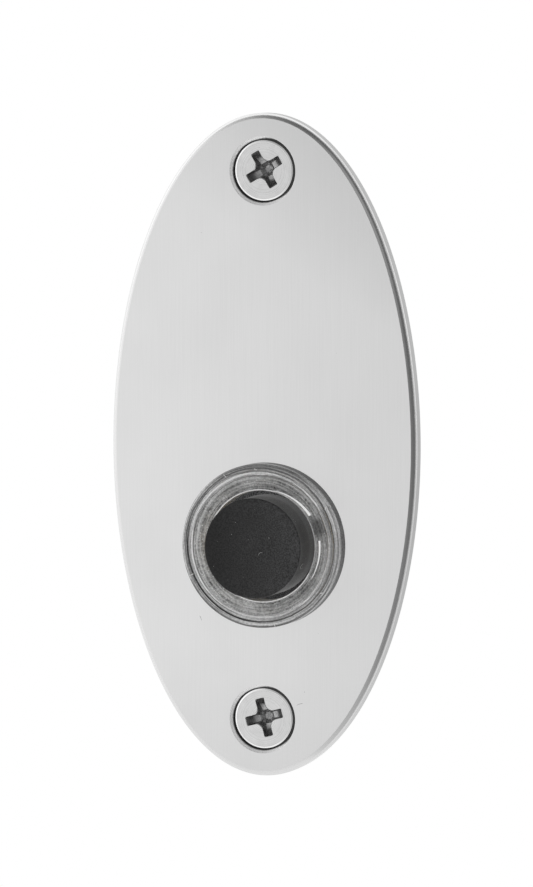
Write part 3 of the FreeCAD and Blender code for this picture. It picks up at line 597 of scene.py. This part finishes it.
# painted highlight: near-white metal for the screw head's rim and the recess lip
EDGE_PAINTED_HIGHLIGHT = plain_metal("screw_edge_painted_highlight", 0.86, 0.97, (0.16, 0.24))
CONTACT = plain_metal("contact_silvery", (0.72, 0.72, 0.70), (0.86, 0.86, 0.84), (0.18, 0.3))
WASHER = plain_metal("washer_plated", (0.66, 0.66, 0.65), (0.80, 0.80, 0.79), (0.24, 0.36), 2500)
SPRING = plain_metal("spring_wire", 0.46, 0.62, (0.22, 0.34))
TINNED = plain_metal("tinned_wire", (0.62, 0.62, 0.61), (0.78, 0.78, 0.77), (0.25, 0.4))
CLEAR = clear_plastic("clear_lens_gloss", (0.02, 0.1), (0.95, 0.95, 0.95), 1.45)
FROSTED = frosted_plastic()
RINGED = ringed_plastic()
# painted light: the clear lens's inner wall is made pale and opaque to stand in for light piped through the lens
INNER_WALL_PAINTED_LIGHT = grained_plastic("clear_lens_inner_wall_painted_light", 0.6, 0.95, (0.3, 0.45), 3000, 0.5)
# painted shade: the clear lens's outer side wall is made dark and opaque
OUTER_WALL_PAINTED_SHADE = grained_plastic("clear_lens_outer_wall_painted_shade", 0.13, 0.34, (0.3, 0.45), 3400, 0.4, 0.15)
# painted highlight: the lens's arcs and ticks are near-white metal standing in for the glint of light inside the
# clear plastic
MARKS_PAINTED_GLINT = plain_metal("lens_marks_painted_glint", 0.7, 0.98, (0.35, 0.5), 5000, 0.3)
DUST = grained_plastic("dust_pale", 0.24, (0.5, 0.5, 0.49), (0.7, 0.9), 9000, 0.3)
SPECK = grained_plastic("speck_dark", 0.07, 0.2, (0.6, 0.8), 9000, 0.3)
LAMP = clear_plastic("lamp_clear", (0.02, 0.08), (0.95, 0.9, 0.74), 1.49)
RESISTOR = grained_plastic("resistor_lacquer", (0.50, 0.38, 0.24), (0.62, 0.50, 0.34), (0.3, 0.42), 2200, 0.08)

# Face plate: the oval outline swept by the rim's section, with the holes cut through


RIM_STEPS = 640
SCREW_SLOPE = math.tan(math.radians(82 / 2))


def oval_ring(inset, along):
    """The plate's outline, moved inward square to itself."""
    half_x, half_z = 21.34, 44.45
    points = []
    for step in range(RIM_STEPS):
        turn = 2 * math.pi * step / RIM_STEPS
        x, z = half_x * math.cos(turn), half_z * math.sin(turn)
        out_x, out_z = math.cos(turn) / half_x, math.sin(turn) / half_z
        size = math.hypot(out_x, out_z)
        points.append(((x - inset * out_x / size) * MM, along * MM, (z - inset * out_z / size) * MM))
    return points


def face_plate():
    section = eased([(0.3, 0), (0, 0, 0.1), (0, FACE + 0.73, 0.3), (0.285, FACE + 0.31, 1.6), (0.68, FACE, 0.05),
                     (6, FACE)], 7)[1:-1]
    points = [point for inset, along in section for point in oval_ring(inset, along)]
    last = len(points) - RIM_STEPS
    ends = [tuple(range(RIM_STEPS)), tuple(range(last, last + RIM_STEPS))]
    plate = cutter(from_lists("face_plate_satin", points, ring_faces(len(section), RIM_STEPS) + ends))
    mouth, bore = 4.6, 2.55
    neck = FACE + (mouth - bore) / SCREW_SLOPE
    rim = eased([(7, FACE), (mouth, FACE, 0.12), (4.3, FACE + 0.2, 0.3), (bore, neck), (0, neck)], 6)[1:-2]
    hole = [(0, FACE - 1), (rim[0][0], FACE - 1)] + rim + [(bore, neck), (bore, 1), (0, 1)]
    tools = []
    for side in (1, -1):
        tools.append(cutter(moved(turned_mesh("hole", hole, 128), z=side * SCREW_Z)))
    well = [(0, -4), (9.6, -4), (9.6, -0.9), (10.6, -0.9), (10.6, 1), (0, 1)]
    tools.append(cutter(moved(turned_mesh("well", well, 160), x=PUSH_X, z=PUSH_Z)))
    combined(plate, tools)
    piece = finish_mesh("face_plate_satin", plate.data.copy(), [NICKEL, COUNTERSINK], 25)
    bpy.data.objects.remove(plate)
    for face in piece.data.polygons:
        centre = face.center / MM
        radius = math.hypot(centre.x, abs(centre.z) - SCREW_Z)
        face.material_index = 1 if radius < mouth - 0.02 and abs(face.normal.y) < 0.97 else 0
    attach(piece, "housing")
    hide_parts("face_plate")


face_plate()

# Mounting screws: turned head, cross recess with round corners, and a wood-screw thread


def cross_outline(reach_out, half, inner, outer):
    """One cross section of the recess: four arms, with the corners between them rounded."""
    arm = [(reach_out, -half, outer), (reach_out, half, outer), (half, half, inner)]
    corners = []
    for _ in range(4):
        corners += arm
        arm = [(-z, x, size) for x, z, size in arm]
    return eased(corners, 6)


def recess(top, depth):
    """The tapered cross that is cut from the head, with a flared lip and a small pointed floor. A level is its place
    along Y, its arms' reach and half width, and the rounds between and on the arms."""
    levels = [
        (top - 0.5, 2.66, 0.64, 0.95, 0.14),
        (top - 0.02, 2.64, 0.65, 0.95, 0.14),
        (top + 0.1, 2.55, 0.57, 0.92, 0.12),
        (top + depth * 0.3, 2.2, 0.53, 0.8, 0.1),
        (top + depth * 0.55, 1.75, 0.48, 0.7, 0.1),
        (top + depth * 0.6, 1.45, 0.45, 0.6, 0.1),
        (top + depth * 0.66, 0.95, 0.4, 0.25, 0.1),
        (top + depth, 0.5, 0.3, 0.1, 0.05)]
    points = [(x * MM, along * MM, z * MM) for along, *shape in levels for x, z in cross_outline(*shape)]
    size = len(points) // len(levels)
    tip, last = len(points), len(points) - size
    points.append((0, (levels[-1][0] + 0.15) * MM, 0))
    faces = ring_faces(len(levels), size) + [tuple(range(size))]
    faces += [(last + step, last + (step + 1) % size, tip) for step in range(size)]
    return from_lists("recess", points, faces)


def thread_mesh(name, start, end, core, crest, pitch, point_length):
    """A helical thread on a tapering core: each row of the grid follows the helix."""
    segments, rows = 48, 8
    width = segments + 1
    total = int(((end - start) / pitch + 2) * rows)

    def at(step, row):
        turn = step / segments
        along = start - pitch + (row / rows + turn) * pitch
        held = min(max(along, start), end)
        phase = (row % rows) / rows
        ridge = max(0.0, 1 - abs(phase - 0.5) / 0.22)
        fade = min(1.0, max(0.0, (held - start) / (pitch * 0.9)), max(0.0, (end - held) / (pitch * 0.3)))
        taper = min(1.0, (end - held) / point_length)
        core_here = core * (1 - (1 - taper) ** 1.3) if taper < 1 else core
        radius = core_here + (crest - core) * ridge * fade * min(1.0, 0.35 + taper)
        radius = max(min(radius, crest * min(1.0, taper * 1.02 + 0.02)), 0.02)
        angle = 2 * math.pi * turn
        return (radius * MM * math.cos(angle), held * MM, radius * MM * math.sin(angle))

    points = [at(step, row) for row in range(total + 1) for step in range(width)]
    corners = [row * width + step for row in range(total) for step in range(segments)]
    faces = [(corner, corner + 1, corner + width + 1, corner + width) for corner in corners]
    data = bpy.data.meshes.new(name)
    data.from_pydata(points, [], faces)
    shape = bmesh.new()
    shape.from_mesh(data)
    bmesh.ops.remove_doubles(shape, verts=shape.verts, dist=2e-7)
    bmesh.ops.dissolve_degenerate(shape, dist=1e-7, edges=shape.edges)
    bmesh.ops.holes_fill(shape, edges=[edge for edge in shape.edges if edge.is_boundary], sides=0)
    bmesh.ops.recalc_face_normals(shape, faces=shape.faces)
    shape.to_mesh(data)
    shape.free()
    return data


def mounting_screw(node, turn):
    """A flat head with its cross turned by an angle, a plain neck and a pointed wood-screw thread. The head lies a
    little off the hole's middle, and the cross a little off the head's."""
    top, tip = reach(node, 1)
    hole_z = middle(node)[2]
    x, z = 0.05, hole_z + 0.06
    head, shank, core = 4.05, 2.08, 1.5
    cone_start = top + 0.23
    cone_end = cone_start + (head - shank) / SCREW_SLOPE
    body = cutter(turned_mesh("head", eased([
        (0, top), (3.84, top, 0.1), (head, top + 0.07, 0.03), (head, top + 0.18, 0.03),
        (head - 0.16, cone_start + 0.12, 0.03), (shank, cone_end, 0.4), (shank - 0.25, cone_end + 2.6, 0.1),
        (core, cone_end + 2.8, 0.05), (core, cone_end + 3.4), (0, cone_end + 3.4)], 5), 144))
    aside, above = 0.03, 0.13
    shift_x = aside * math.cos(turn) + above * math.sin(turn)
    shift_z = above * math.cos(turn) - aside * math.sin(turn)
    combined(body, [cutter(moved(recess(top, 2.3), x=shift_x, z=shift_z))])
    data = moved(taken(body), x=x, z=z, turn=turn)
    material = turned_metal(f"{node}_plated", 0, hole_z)
    piece = finish_mesh(f"{node}_head", data, [material, DRIVE, EDGE_PAINTED_HIGHLIGHT])
    for face in data.polygons:
        centre = face.center / MM
        radius = math.hypot(centre.x - x, centre.z - z)
        inside = radius < 2.9 and top + 0.11 < centre.y < top + 2.5
        lip = radius < 2.9 and top + 0.005 < centre.y <= top + 0.11
        edge = radius > 3.8 and centre.y < top + 0.1 and face.normal.y > -0.995
        # the recess lip and the head's rim take the painted highlight
        face.material_index = 1 if inside else 2 if lip or edge else 0
    thread = moved(thread_mesh(f"{node}_thread", cone_end + 2.5, tip, 1.45, shank, 1.8, 4.2), z=hole_z)
    winding = finish_mesh(f"{node}_thread", thread, [material], 40, False)
    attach(piece, "housing")
    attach(winding, "housing")
    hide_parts(node)


mounting_screw("upper_mounting_screw", math.radians(30.5))
mounting_screw("lower_mounting_screw", math.radians(15))

# Lens housing: clear flange with a groove, a frosted dish, and the barrel behind the plate

LENS_FRONT = -5.4
SHOULDER = -2.0
KEY_TURN = math.radians(21)


def lens_housing():
    front, rim, shoulder = LENS_FRONT, -4.8, SHOULDER
    x, z = PUSH_X, PUSH_Z
    section = eased([
        (7.4, shoulder), (7.4, rim + 0.05, 0.08), (7.62, rim - 0.02, 0.04), (7.7, rim + 0.02),
        (9.3, front + 0.1, 0.05), (9.42, front + 0.13), (9.5, front + 0.02, 0.03), (9.62, front, 0.02),
        (9.7, front + 0.05),
        (9.78, front, 0.02), (9.95, front, 0.03), (10.1, front + 0.18, 0.03), (10.25, front, 0.03), (11, front, 0.35),
        (11, front + 1.2), (11, FACE - 0.03, 0.05), (9.5, FACE - 0.03), (9.5, 0, 0.05), (9.3, 0), (9.3, 12, 0.15),
        (8.1, 12, 0.1), (8.1, shoulder, 0.1)], 5, 0.015)
    body = cutter(moved(turned_mesh("lens", section, 256, True), x=x, z=z))
    tools, barbs = [], []
    for side in (-1, 1):
        low, high = sorted((side * 7.0, side * 10.4))
        for left, right in ((-3.3, -2.5), (2.5, 3.3)):
            tools.append(cutter(moved(block("slot", (left, -1.65, low), (right, 5.65, high)), x=x, z=z)))
        tools.append(cutter(moved(block("slot", (-2.6, -1.65, low), (2.6, -0.85, high)), x=x, z=z)))
        tools.append(cutter(moved(block("window", (low, 9.0, -1.2), (high, 10.6, 1.2)), x=x, z=z)))
        barb = from_lists("barb", *prism([(-0.85, 8.9), (-0.85, 10.1), (-0.05, 9.5), (-0.05, 8.9)], 2.5, side))
        barbs.append(cutter(moved(barb, x=x, z=z)))
    key = block("keyway", (4, shoulder, -1.6), (8.8, 13, 1.6))
    tools.append(cutter(moved(key, x=x, z=z, turn=KEY_TURN)))
    combined(body, tools)
    combined(body, barbs, "UNION")
    data = taken(body)
    piece = finish_mesh("lens_housing_clear", data, [CLEAR, FROSTED, RINGED, INNER_WALL_PAINTED_LIGHT, OUTER_WALL_PAINTED_SHADE], 28)
    for face in data.polygons:
        centre = face.center / MM
        radius = math.hypot(centre.x - x, centre.z - z)
        inner = 7.3 < radius < 7.6 and rim - 0.1 < centre.y < shoulder
        dish = 7.39 < radius < 9.36 and front - 0.02 < centre.y < rim + 0.3 and face.normal.y < -0.2
        outer = radius > 9.36 and centre.y < FACE - 0.04
        wall = radius > 10.9 and front + 1.2 < centre.y < FACE - 0.04 and abs(face.normal.y) < 0.3
        # the inner bore's wall takes painted light and the outer side wall painted shade
        face.material_index = 3 if inner else 1 if dish else 4 if wall else 2 if outer else 0
    piece.visible_glossy = False
    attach(piece, "housing")
    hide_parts("lens_housing")


def prism(outline, half, side):
    """A shape drawn by places along Y and Z, mirrored for the lower side, and a half width each way along X."""
    count = len(outline)
    points = [(across * MM, along * MM, side * up * MM) for across in (-half, half) for along, up in outline]
    faces = [tuple(range(count)), tuple(range(count, 2 * count))]
    faces += [(step, (step + 1) % count, count + (step + 1) % count, count + step) for step in range(count)]
    return points, faces


lens_housing()

# Push button: dished cap, skirt, keyed flange behind the lens's shoulder, and the post inside

CAP_FRONT = reach("push_button", 1)[0]
CAP_RADIUS = 6.7
DISH_RADIUS = 6.35


def dish_depth(distance):
    """How far the cap's front lies back at a distance from the push axis."""
    return 0.15 * (1 - (distance / DISH_RADIUS) ** 2)


def push_button():
    front, inside, shoulder, skirt_end, tail = -8.85, -7.25, SHOULDER, -0.6, 2.6
    dish = [(DISH_RADIUS * step / 10, front + dish_depth(DISH_RADIUS * step / 10)) for step in range(11)]
    section = dish + eased([
        (DISH_RADIUS, front), (CAP_RADIUS, front, 0.2), (CAP_RADIUS, shoulder), (8.03, shoulder, 0.1),
        (8.03, skirt_end, 0.1), (5.8, skirt_end, 0.1), (5.8, inside, 0.3), (1.5, inside, 0.3), (1.5, 0.6, 0.1),
        (0.95, 0.6), (0.95, tail, 0.15), (0, tail)], 7)[1:]
    body = cutter(turned_mesh("cap", section, 192))
    key = cutter(moved(block("key", (7.6, shoulder, -1.5), (8.7, skirt_end, 1.5)), turn=KEY_TURN))
    combined(body, [key], "UNION")
    piece = finish_mesh("push_button_black", moved(taken(body), x=PUSH_X, z=PUSH_Z), [BUTTON], 30)
    piece.visible_glossy = False
    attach(piece, "button")
    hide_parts("push_button")


push_button()

# What the photo shows on the parts: moulding arcs and ticks in the lens, dust on the button, specks on the plate


def on_dish(radius):
    """Where the lens's dish is along Y at a distance from the push axis."""
    return -4.78 - (min(max(radius, 7.7), 9.3) - 7.7) * 0.325


def arc_strip(first, last, radii, widths):
    """A raised strip on the lens along an arc, between two angles in degrees, with a width that changes along it."""
    steps, points = 36, []
    for step in range(steps + 1):
        share = step / steps
        turn = math.radians(first + (last - first) * share)
        radius = radii[0] + (radii[1] - radii[0]) * share
        half = (widths[0] + (widths[1] - widths[0]) * share) / 2
        for away, rise in ((-half, -0.02), (-half * 0.7, 0.05), (half * 0.7, 0.05), (half, -0.02)):
            here = radius + away
            points.append(((PUSH_X + here * math.cos(turn)) * MM, (on_dish(here) - rise) * MM,
                           (PUSH_Z + here * math.sin(turn)) * MM))
    return points, ring_faces(steps + 1, 4) + [(0, 1, 2, 3), tuple(range(steps * 4, steps * 4 + 4))]


def gathered(name, shapes):
    """One mesh of several closed shapes."""
    points, faces = [], []
    for shape_points, shape_faces in shapes:
        start = len(points)
        points += shape_points
        faces += [tuple(start + corner for corner in face) for face in shape_faces]
    return from_lists(name, points, faces)


def lens_marks():
    arcs = [arc_strip(32, 77, (8.05, 7.62), (0.5, 0.08)), arc_strip(6.5, -31, (8.2, 8.2), (0.4, 0.06)),
            arc_strip(77, 150, (7.52, 7.52), (0.1, 0.12)), arc_strip(200, 332, (7.52, 7.52), (0.1, 0.12))]
    marks = finish_mesh("lens_moulding_arcs", gathered("lens_moulding_arcs", arcs), [MARKS_PAINTED_GLINT], 50, False)
    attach(marks, "housing")
    for radius, angle, size, lean in ((10.45, 203, 0.32, 0), (10.6, 30.3, 0.3, 40), (10.75, -79, 0.34, 10),
                                      (10.3, 93.6, 0.22, 70), (10.55, 118, 0.2, 20), (10.5, -35, 0.22, 50)):
        turn = math.radians(angle)
        centre = Vector((PUSH_X + radius * math.cos(turn), LENS_FRONT - 0.01, PUSH_Z + radius * math.sin(turn)))
        ahead = Vector((math.cos(turn + math.radians(lean)), 0, math.sin(turn + math.radians(lean))))
        row = [centre + ahead * size * share for share in (-1, -0.5, 0, 0.5, 1)]
        name = f"lens_tick_{angle:.0f}".replace("-", "m")
        tick = finish_mesh(name, tube("tick", row, 0.035, 8), [MARKS_PAINTED_GLINT], 60, False)
        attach(tick, "housing")


lens_marks()


def button_dust():
    """Two short hairs on the cap, a curl on its side, and grains of dust on both."""
    hairs = []
    for x, z, size, start, swing in ((1.2, -0.85, 0.34, 60, 130), (2.1, 1.4, 0.22, -20, 60)):
        row = []
        along = CAP_FRONT + dish_depth(math.hypot(x, z)) - 0.01
        for step in range(9):
            turn = math.radians(start + swing * step / 8)
            row.append(Vector((PUSH_X + x + size * math.cos(turn), along, PUSH_Z + z + size * math.sin(turn))))
        hairs.append(tube("hair", row, 0.028, 6))
    row = []
    for step in range(13):
        turn = math.radians(150 + 250 * step / 12)
        up = -2.4 + 0.34 * math.cos(turn)
        out = math.sqrt((CAP_RADIUS + 0.02) ** 2 - up ** 2)
        row.append(Vector((PUSH_X + out, CAP_FRONT + 2.2 + 0.7 * math.sin(turn), PUSH_Z + up)))
    hairs.append(tube("curl", row, 0.035, 6))
    for count, data in enumerate(hairs):
        hair = finish_mesh(f"dust_hair_{count + 1}", data, [DUST], 60, False)
        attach(hair, "button")
    grains = []
    for x, z, size in ((-2.35, 3.4, 0.055), (-4.85, 0.8, 0.05), (-5.4, -2.55, 0.06), (-1.3, -3.9, 0.04),
                       (3.2, 2.9, 0.04), (0.3, 5.2, 0.045), (4.3, -3.1, 0.04), (-3.4, -4.3, 0.05),
                       (2.4, -5.2, 0.04), (-0.6, 1.2, 0.035)):
        along = CAP_FRONT + dish_depth(math.hypot(x, z)) - size * 0.3
        grains.append(grain_shape(Vector((PUSH_X + x, along, PUSH_Z + z)), size))
    for along, angle, size in ((0.9, 36, 0.07), (1.25, 33, 0.06), (0.8, 30, 0.05), (2.4, 52, 0.05), (2.9, -12, 0.05)):
        turn = math.radians(angle)
        out = CAP_RADIUS + 0.01
        centre = Vector((PUSH_X + out * math.cos(turn), CAP_FRONT + along, PUSH_Z + out * math.sin(turn)))
        grains.append(grain_shape(centre, size))
    dust = finish_mesh("dust_grains", gathered("dust_grains", grains), [DUST], 60, False)
    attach(dust, "button")


def grain_shape(centre, size):
    """A small uneven grain: two rings of six between two tips."""
    points = [tuple((centre + Vector((0, -size * 0.5, 0))) * MM)]
    for along, share in ((-0.25, 0.8), (0.25, 0.9)):
        for step in range(6):
            turn = math.pi * step / 3
            spread = size * share * (0.75 + 0.25 * math.cos(turn * 2 + centre.x * 3 + centre.z))
            away = Vector((spread * math.cos(turn), along * size, spread * math.sin(turn)))
            points.append(tuple((centre + away) * MM))
    points.append(tuple((centre + Vector((0, size * 0.5, 0))) * MM))
    faces = []
    for step in range(6):
        after = (step + 1) % 6
        faces += [(0, 1 + step, 1 + after), (1 + step, 7 + step, 7 + after, 1 + after), (7 + step, 13, 7 + after)]
    return points, faces


button_dust()


def plate_specks():
    """Tiny dark specks and two short hairs that lie on the plate and the upper screw."""
    head = reach("upper_mounting_screw", 1)[0]
    specks = [(-8.6, 28.4, 0.06, FACE), (5.9, -32.9, 0.07, FACE), (7.8, -25.0, 0.05, FACE), (-0.6, 39.8, 0.06, head),
              (0.8, 39.9, 0.05, head), (-2.75, 36.1, 0.06, head), (-13.2, 3.1, 0.045, FACE),
              (10.3, 12.6, 0.045, FACE)]
    shapes = [grain_shape(Vector((x, along + 0.01, z)), size) for x, z, size, along in specks]
    for (x0, z0), (x1, z1) in (((4.85, -34.7), (5.6, -34.45)), ((-8.85, -23.1), (-8.6, -23.7))):
        row = [Vector((x0 + (x1 - x0) * share, FACE - 0.005,
                       z0 + (z1 - z0) * share + 0.05 * math.sin(share * math.pi)))
               for share in (0, 0.25, 0.5, 0.75, 1)]
        name = "plate_hair_a" if x0 > 0 else "plate_hair_b"
        hair = finish_mesh(name, tube("plate_hair", row, 0.02, 6), [SPECK], 60, False)
        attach(hair, "housing")
    dust = finish_mesh("plate_specks", gathered("plate_specks", shapes), [SPECK], 60, False)
    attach(dust, "housing")


plate_specks()

# Pieces behind the plate: their solids' own shapes, with eased edges


def dressed(node, body, material, ease, steps=2):
    """A piece with a CAD node's shape whose sharp edges are eased."""
    data = nodes[node].data.copy()
    data.name = f"{node}_dressed"
    data.materials.clear()
    shape = bmesh.new()
    shape.from_mesh(data)
    bmesh.ops.remove_doubles(shape, verts=shape.verts, dist=2e-6)
    bmesh.ops.dissolve_limit(shape, angle_limit=math.radians(1.5), verts=shape.verts, edges=shape.edges)
    shape.to_mesh(data)
    shape.free()
    data.materials.append(material)
    piece = cutter(data)
    edges = piece.modifiers.new("edges", "BEVEL")
    edges.width = ease * MM
    edges.segments = steps
    edges.limit_method = "ANGLE"
    edges.angle_limit = math.radians(35)
    smoothed(applied(piece), 35)
    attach(piece, body)
    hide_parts(node)


dressed("rear_base", "housing", BASE, 0.12, 3)
for side in ("left", "right"):
    dressed(f"{side}_fixed_contact", "housing", BRASS, 0.05)
    dressed(f"{side}_clamp_washer", "housing", WASHER, 0.08)
    dressed(f"{side}_strip_contact", "housing", CONTACT, 0.12, 3)
    dressed(f"{side}_bridge_contact", "button", CONTACT, 0.12, 3)
    dressed(f"{side}_lamp_lead", "housing", TINNED, 0.03)
dressed("resistor_lead", "housing", TINNED, 0.03)
dressed("contact_bridge", "button", BRASS, 0.06)
dressed("lamp_resistor", "housing", RESISTOR, 0.05)
dressed("pilot_lamp", "housing", LAMP, 0.05)


def return_spring():
    """Five turns: the first and last lie closed and are ground flat, and three are open."""
    low, high = reach("return_spring", 1)
    wire, coil, turns = 0.21, 1.75, 5
    close = 2 * wire + 0.03
    start, end = low + wire - 0.12, high - wire + 0.12
    heights = ((0, start), (1, start + close), (turns - 1, end - close), (turns, end))
    centres = []
    total = turns * 40
    for step in range(total + 1):
        turn = step * turns / total
        for (first, y0), (second, y1) in zip(heights, heights[1:]):
            if first <= turn <= second:
                along = y0 + (y1 - y0) * (turn - first) / (second - first)
        angle = 2 * math.pi * turn
        centres.append(Vector((PUSH_X + coil * math.cos(angle), along, PUSH_Z + coil * math.sin(angle))))
    data = tube("return_spring_coil", centres, wire, 14, low + 0.02, high)
    piece = finish_mesh("return_spring_coil", data, [SPRING], 50, False)
    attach(piece, "housing")
    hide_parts("return_spring")
    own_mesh(piece)


return_spring()


def terminal_screw(side):
    """A slotted round head, a plain neck and a fine thread."""
    node = f"{side}_terminal_screw"
    front, back = reach(node, 1)
    x, _, z = middle(node)
    under = back - 1.5
    head = cutter(turned_mesh("head", [(0, back)] + eased([
        (0, back), (2.5, back, 0.5), (2.5, under, 0.08), (1.45, under, 0.1), (1.45, under - 0.7, 0.05),
        (0, under - 0.7)], 6)[1:-1] + [(0, under - 0.7)], 96))
    turn = math.radians(24 if side == "left" else -38)
    slot = cutter(moved(block("slot", (-3, back - 0.8, -0.45), (3, back + 1, 0.45)), turn=turn))
    combined(head, [slot])
    material = turned_metal(f"{node}_plated", x, z)
    piece = finish_mesh(f"{node}_head", moved(taken(head), x=x, z=z), [material])
    thread = thread_mesh(f"{node}_thread", 0, under - 0.6 - front, 1.2, 1.45, 0.7, 0.3)
    thread.transform(Matrix.Scale(-1, 4, (0, 1, 0)))
    thread.flip_normals()
    winding = finish_mesh(f"{node}_thread", moved(thread, x=x, y=under - 0.6, z=z), [material], 40, False)
    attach(piece, "housing")
    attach(winding, "housing")
    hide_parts(node)


terminal_screw("left")
terminal_screw("right")

# Camera at the photograph's angle


PHOTO_HEIGHT = 887
PIXELS_PER_MM = 7.4814


def place_camera():
    azimuth, elevation, distance = math.radians(17.6), math.radians(4.4), 0.9
    level = math.cos(elevation)
    out = Vector((math.sin(azimuth) * level, -math.cos(azimuth) * level, math.sin(elevation)))
    target = Vector((0.00055, -0.0024, 0.00033))
    data = bpy.data.cameras.new("camera")
    camera = bpy.data.objects.new("camera", data)
    scene.collection.objects.link(camera)
    camera.location = target + out * distance
    camera.rotation_euler = (-out).to_track_quat("-Z", "Y").to_euler()
    data.sensor_fit = "VERTICAL"
    data.sensor_height = 24
    data.lens = data.sensor_height * distance / (PHOTO_HEIGHT / PIXELS_PER_MM * MM)
    data.clip_start = 0.01
    scene.camera = camera


place_camera()

# Light: a white room that is darker on the right and above, with one soft lamp at the front left


def key_lamp():
    data = bpy.data.lights.new("key", "AREA")
    data.shape = "RECTANGLE"
    data.size = data.size_y = 0.9
    data.energy = 0.5
    piece = bpy.data.objects.new("key", data)
    scene.collection.objects.link(piece)
    piece.location = (-0.7, -0.8, 0.1)
    piece.rotation_euler = (-piece.location).to_track_quat("-Z", "Y").to_euler()


def world():
    """White to the eye. What the part mirrors is paler on the left, below and behind, darker on the right and above,
    with a soft window at the front right."""
    room = bpy.data.worlds.new("room")
    scene.world = room
    room.use_nodes = True
    tree = room.node_tree
    tree.nodes.clear()
    out = tree.nodes.new("ShaderNodeOutputWorld")
    way = add(tree, "ShaderNodeTexCoord").outputs["Generated"]
    x, y, z = parts_of(tree, way)
    lean = plus(tree, times(tree, x, 0.8), times(tree, z, 0.6))
    side = ramp(tree, lean, ((-1.0, 1.0), (-0.35, 1.0), (-0.2, 0.76), (0.0, 0.62), (0.1, 0.56), (0.22, 0.42),
                             (0.33, 0.31), (0.6, 0.2), (0.8, 0.15), (1.0, 0.16)))
    high = ramp(tree, z, ((-0.25, 0.74), (0.3, 1.02)))
    edge = ramp(tree, y, ((0.0, 0.0), (0.15, 1.4), (0.5, 1.2), (0.9, 0.68)))
    facing = add(tree, "ShaderNodeVectorMath", {0: way}, operation="DOT_PRODUCT")
    facing.inputs[1].default_value = (0.52, -0.742, 0.423)
    window = ramp(tree, facing.outputs["Value"], ((0.86, 0.0), (0.97, 0.36)))
    level = plus(tree, maths(tree, "MAXIMUM", side, times(tree, high, edge)), window)
    lit = add(tree, "ShaderNodeBackground", {"Strength": level}, Color=(1, 1, 1, 1))
    white = add(tree, "ShaderNodeBackground", Strength=1, Color=(1, 1, 1, 1))
    path = add(tree, "ShaderNodeLightPath")
    seen = path.outputs["Is Camera Ray"]
    mix = add(tree, "ShaderNodeMixShader", {0: seen, 1: lit.outputs[0], 2: white.outputs[0]})
    tree.links.new(mix.outputs[0], out.inputs["Surface"])


def floor():
    """A wide white floor well below the part, which looks as white as the room."""
    data = from_lists("floor", [(-3, -3, 0), (3, -3, 0), (3, 3, 0), (-3, 3, 0)], [(0, 1, 2, 3)])
    data.transform(Matrix.Translation((0, 0, -0.3)))
    material, tree, shader = new_material("floor_white")
    shader.inputs["Base Color"].default_value = (0.9, 0.9, 0.9, 1)
    shader.inputs["Roughness"].default_value = 0.9
    glow = add(tree, "ShaderNodeEmission", Strength=1.0)
    path = add(tree, "ShaderNodeLightPath")
    seen = maths(tree, "MAXIMUM", path.outputs["Is Camera Ray"], path.outputs["Is Transmission Ray"])
    out = next(node for node in tree.nodes if node.type == "OUTPUT_MATERIAL")
    mix = add(tree, "ShaderNodeMixShader", {0: seen, 1: shader.outputs[0], 2: glow.outputs[0]})
    tree.links.new(mix.outputs[0], out.inputs["Surface"])
    data.materials.append(material)
    piece = solid("floor", data)
    piece.visible_glossy = False


world()
floor()
key_lamp()

scene.view_settings.view_transform = "Standard"
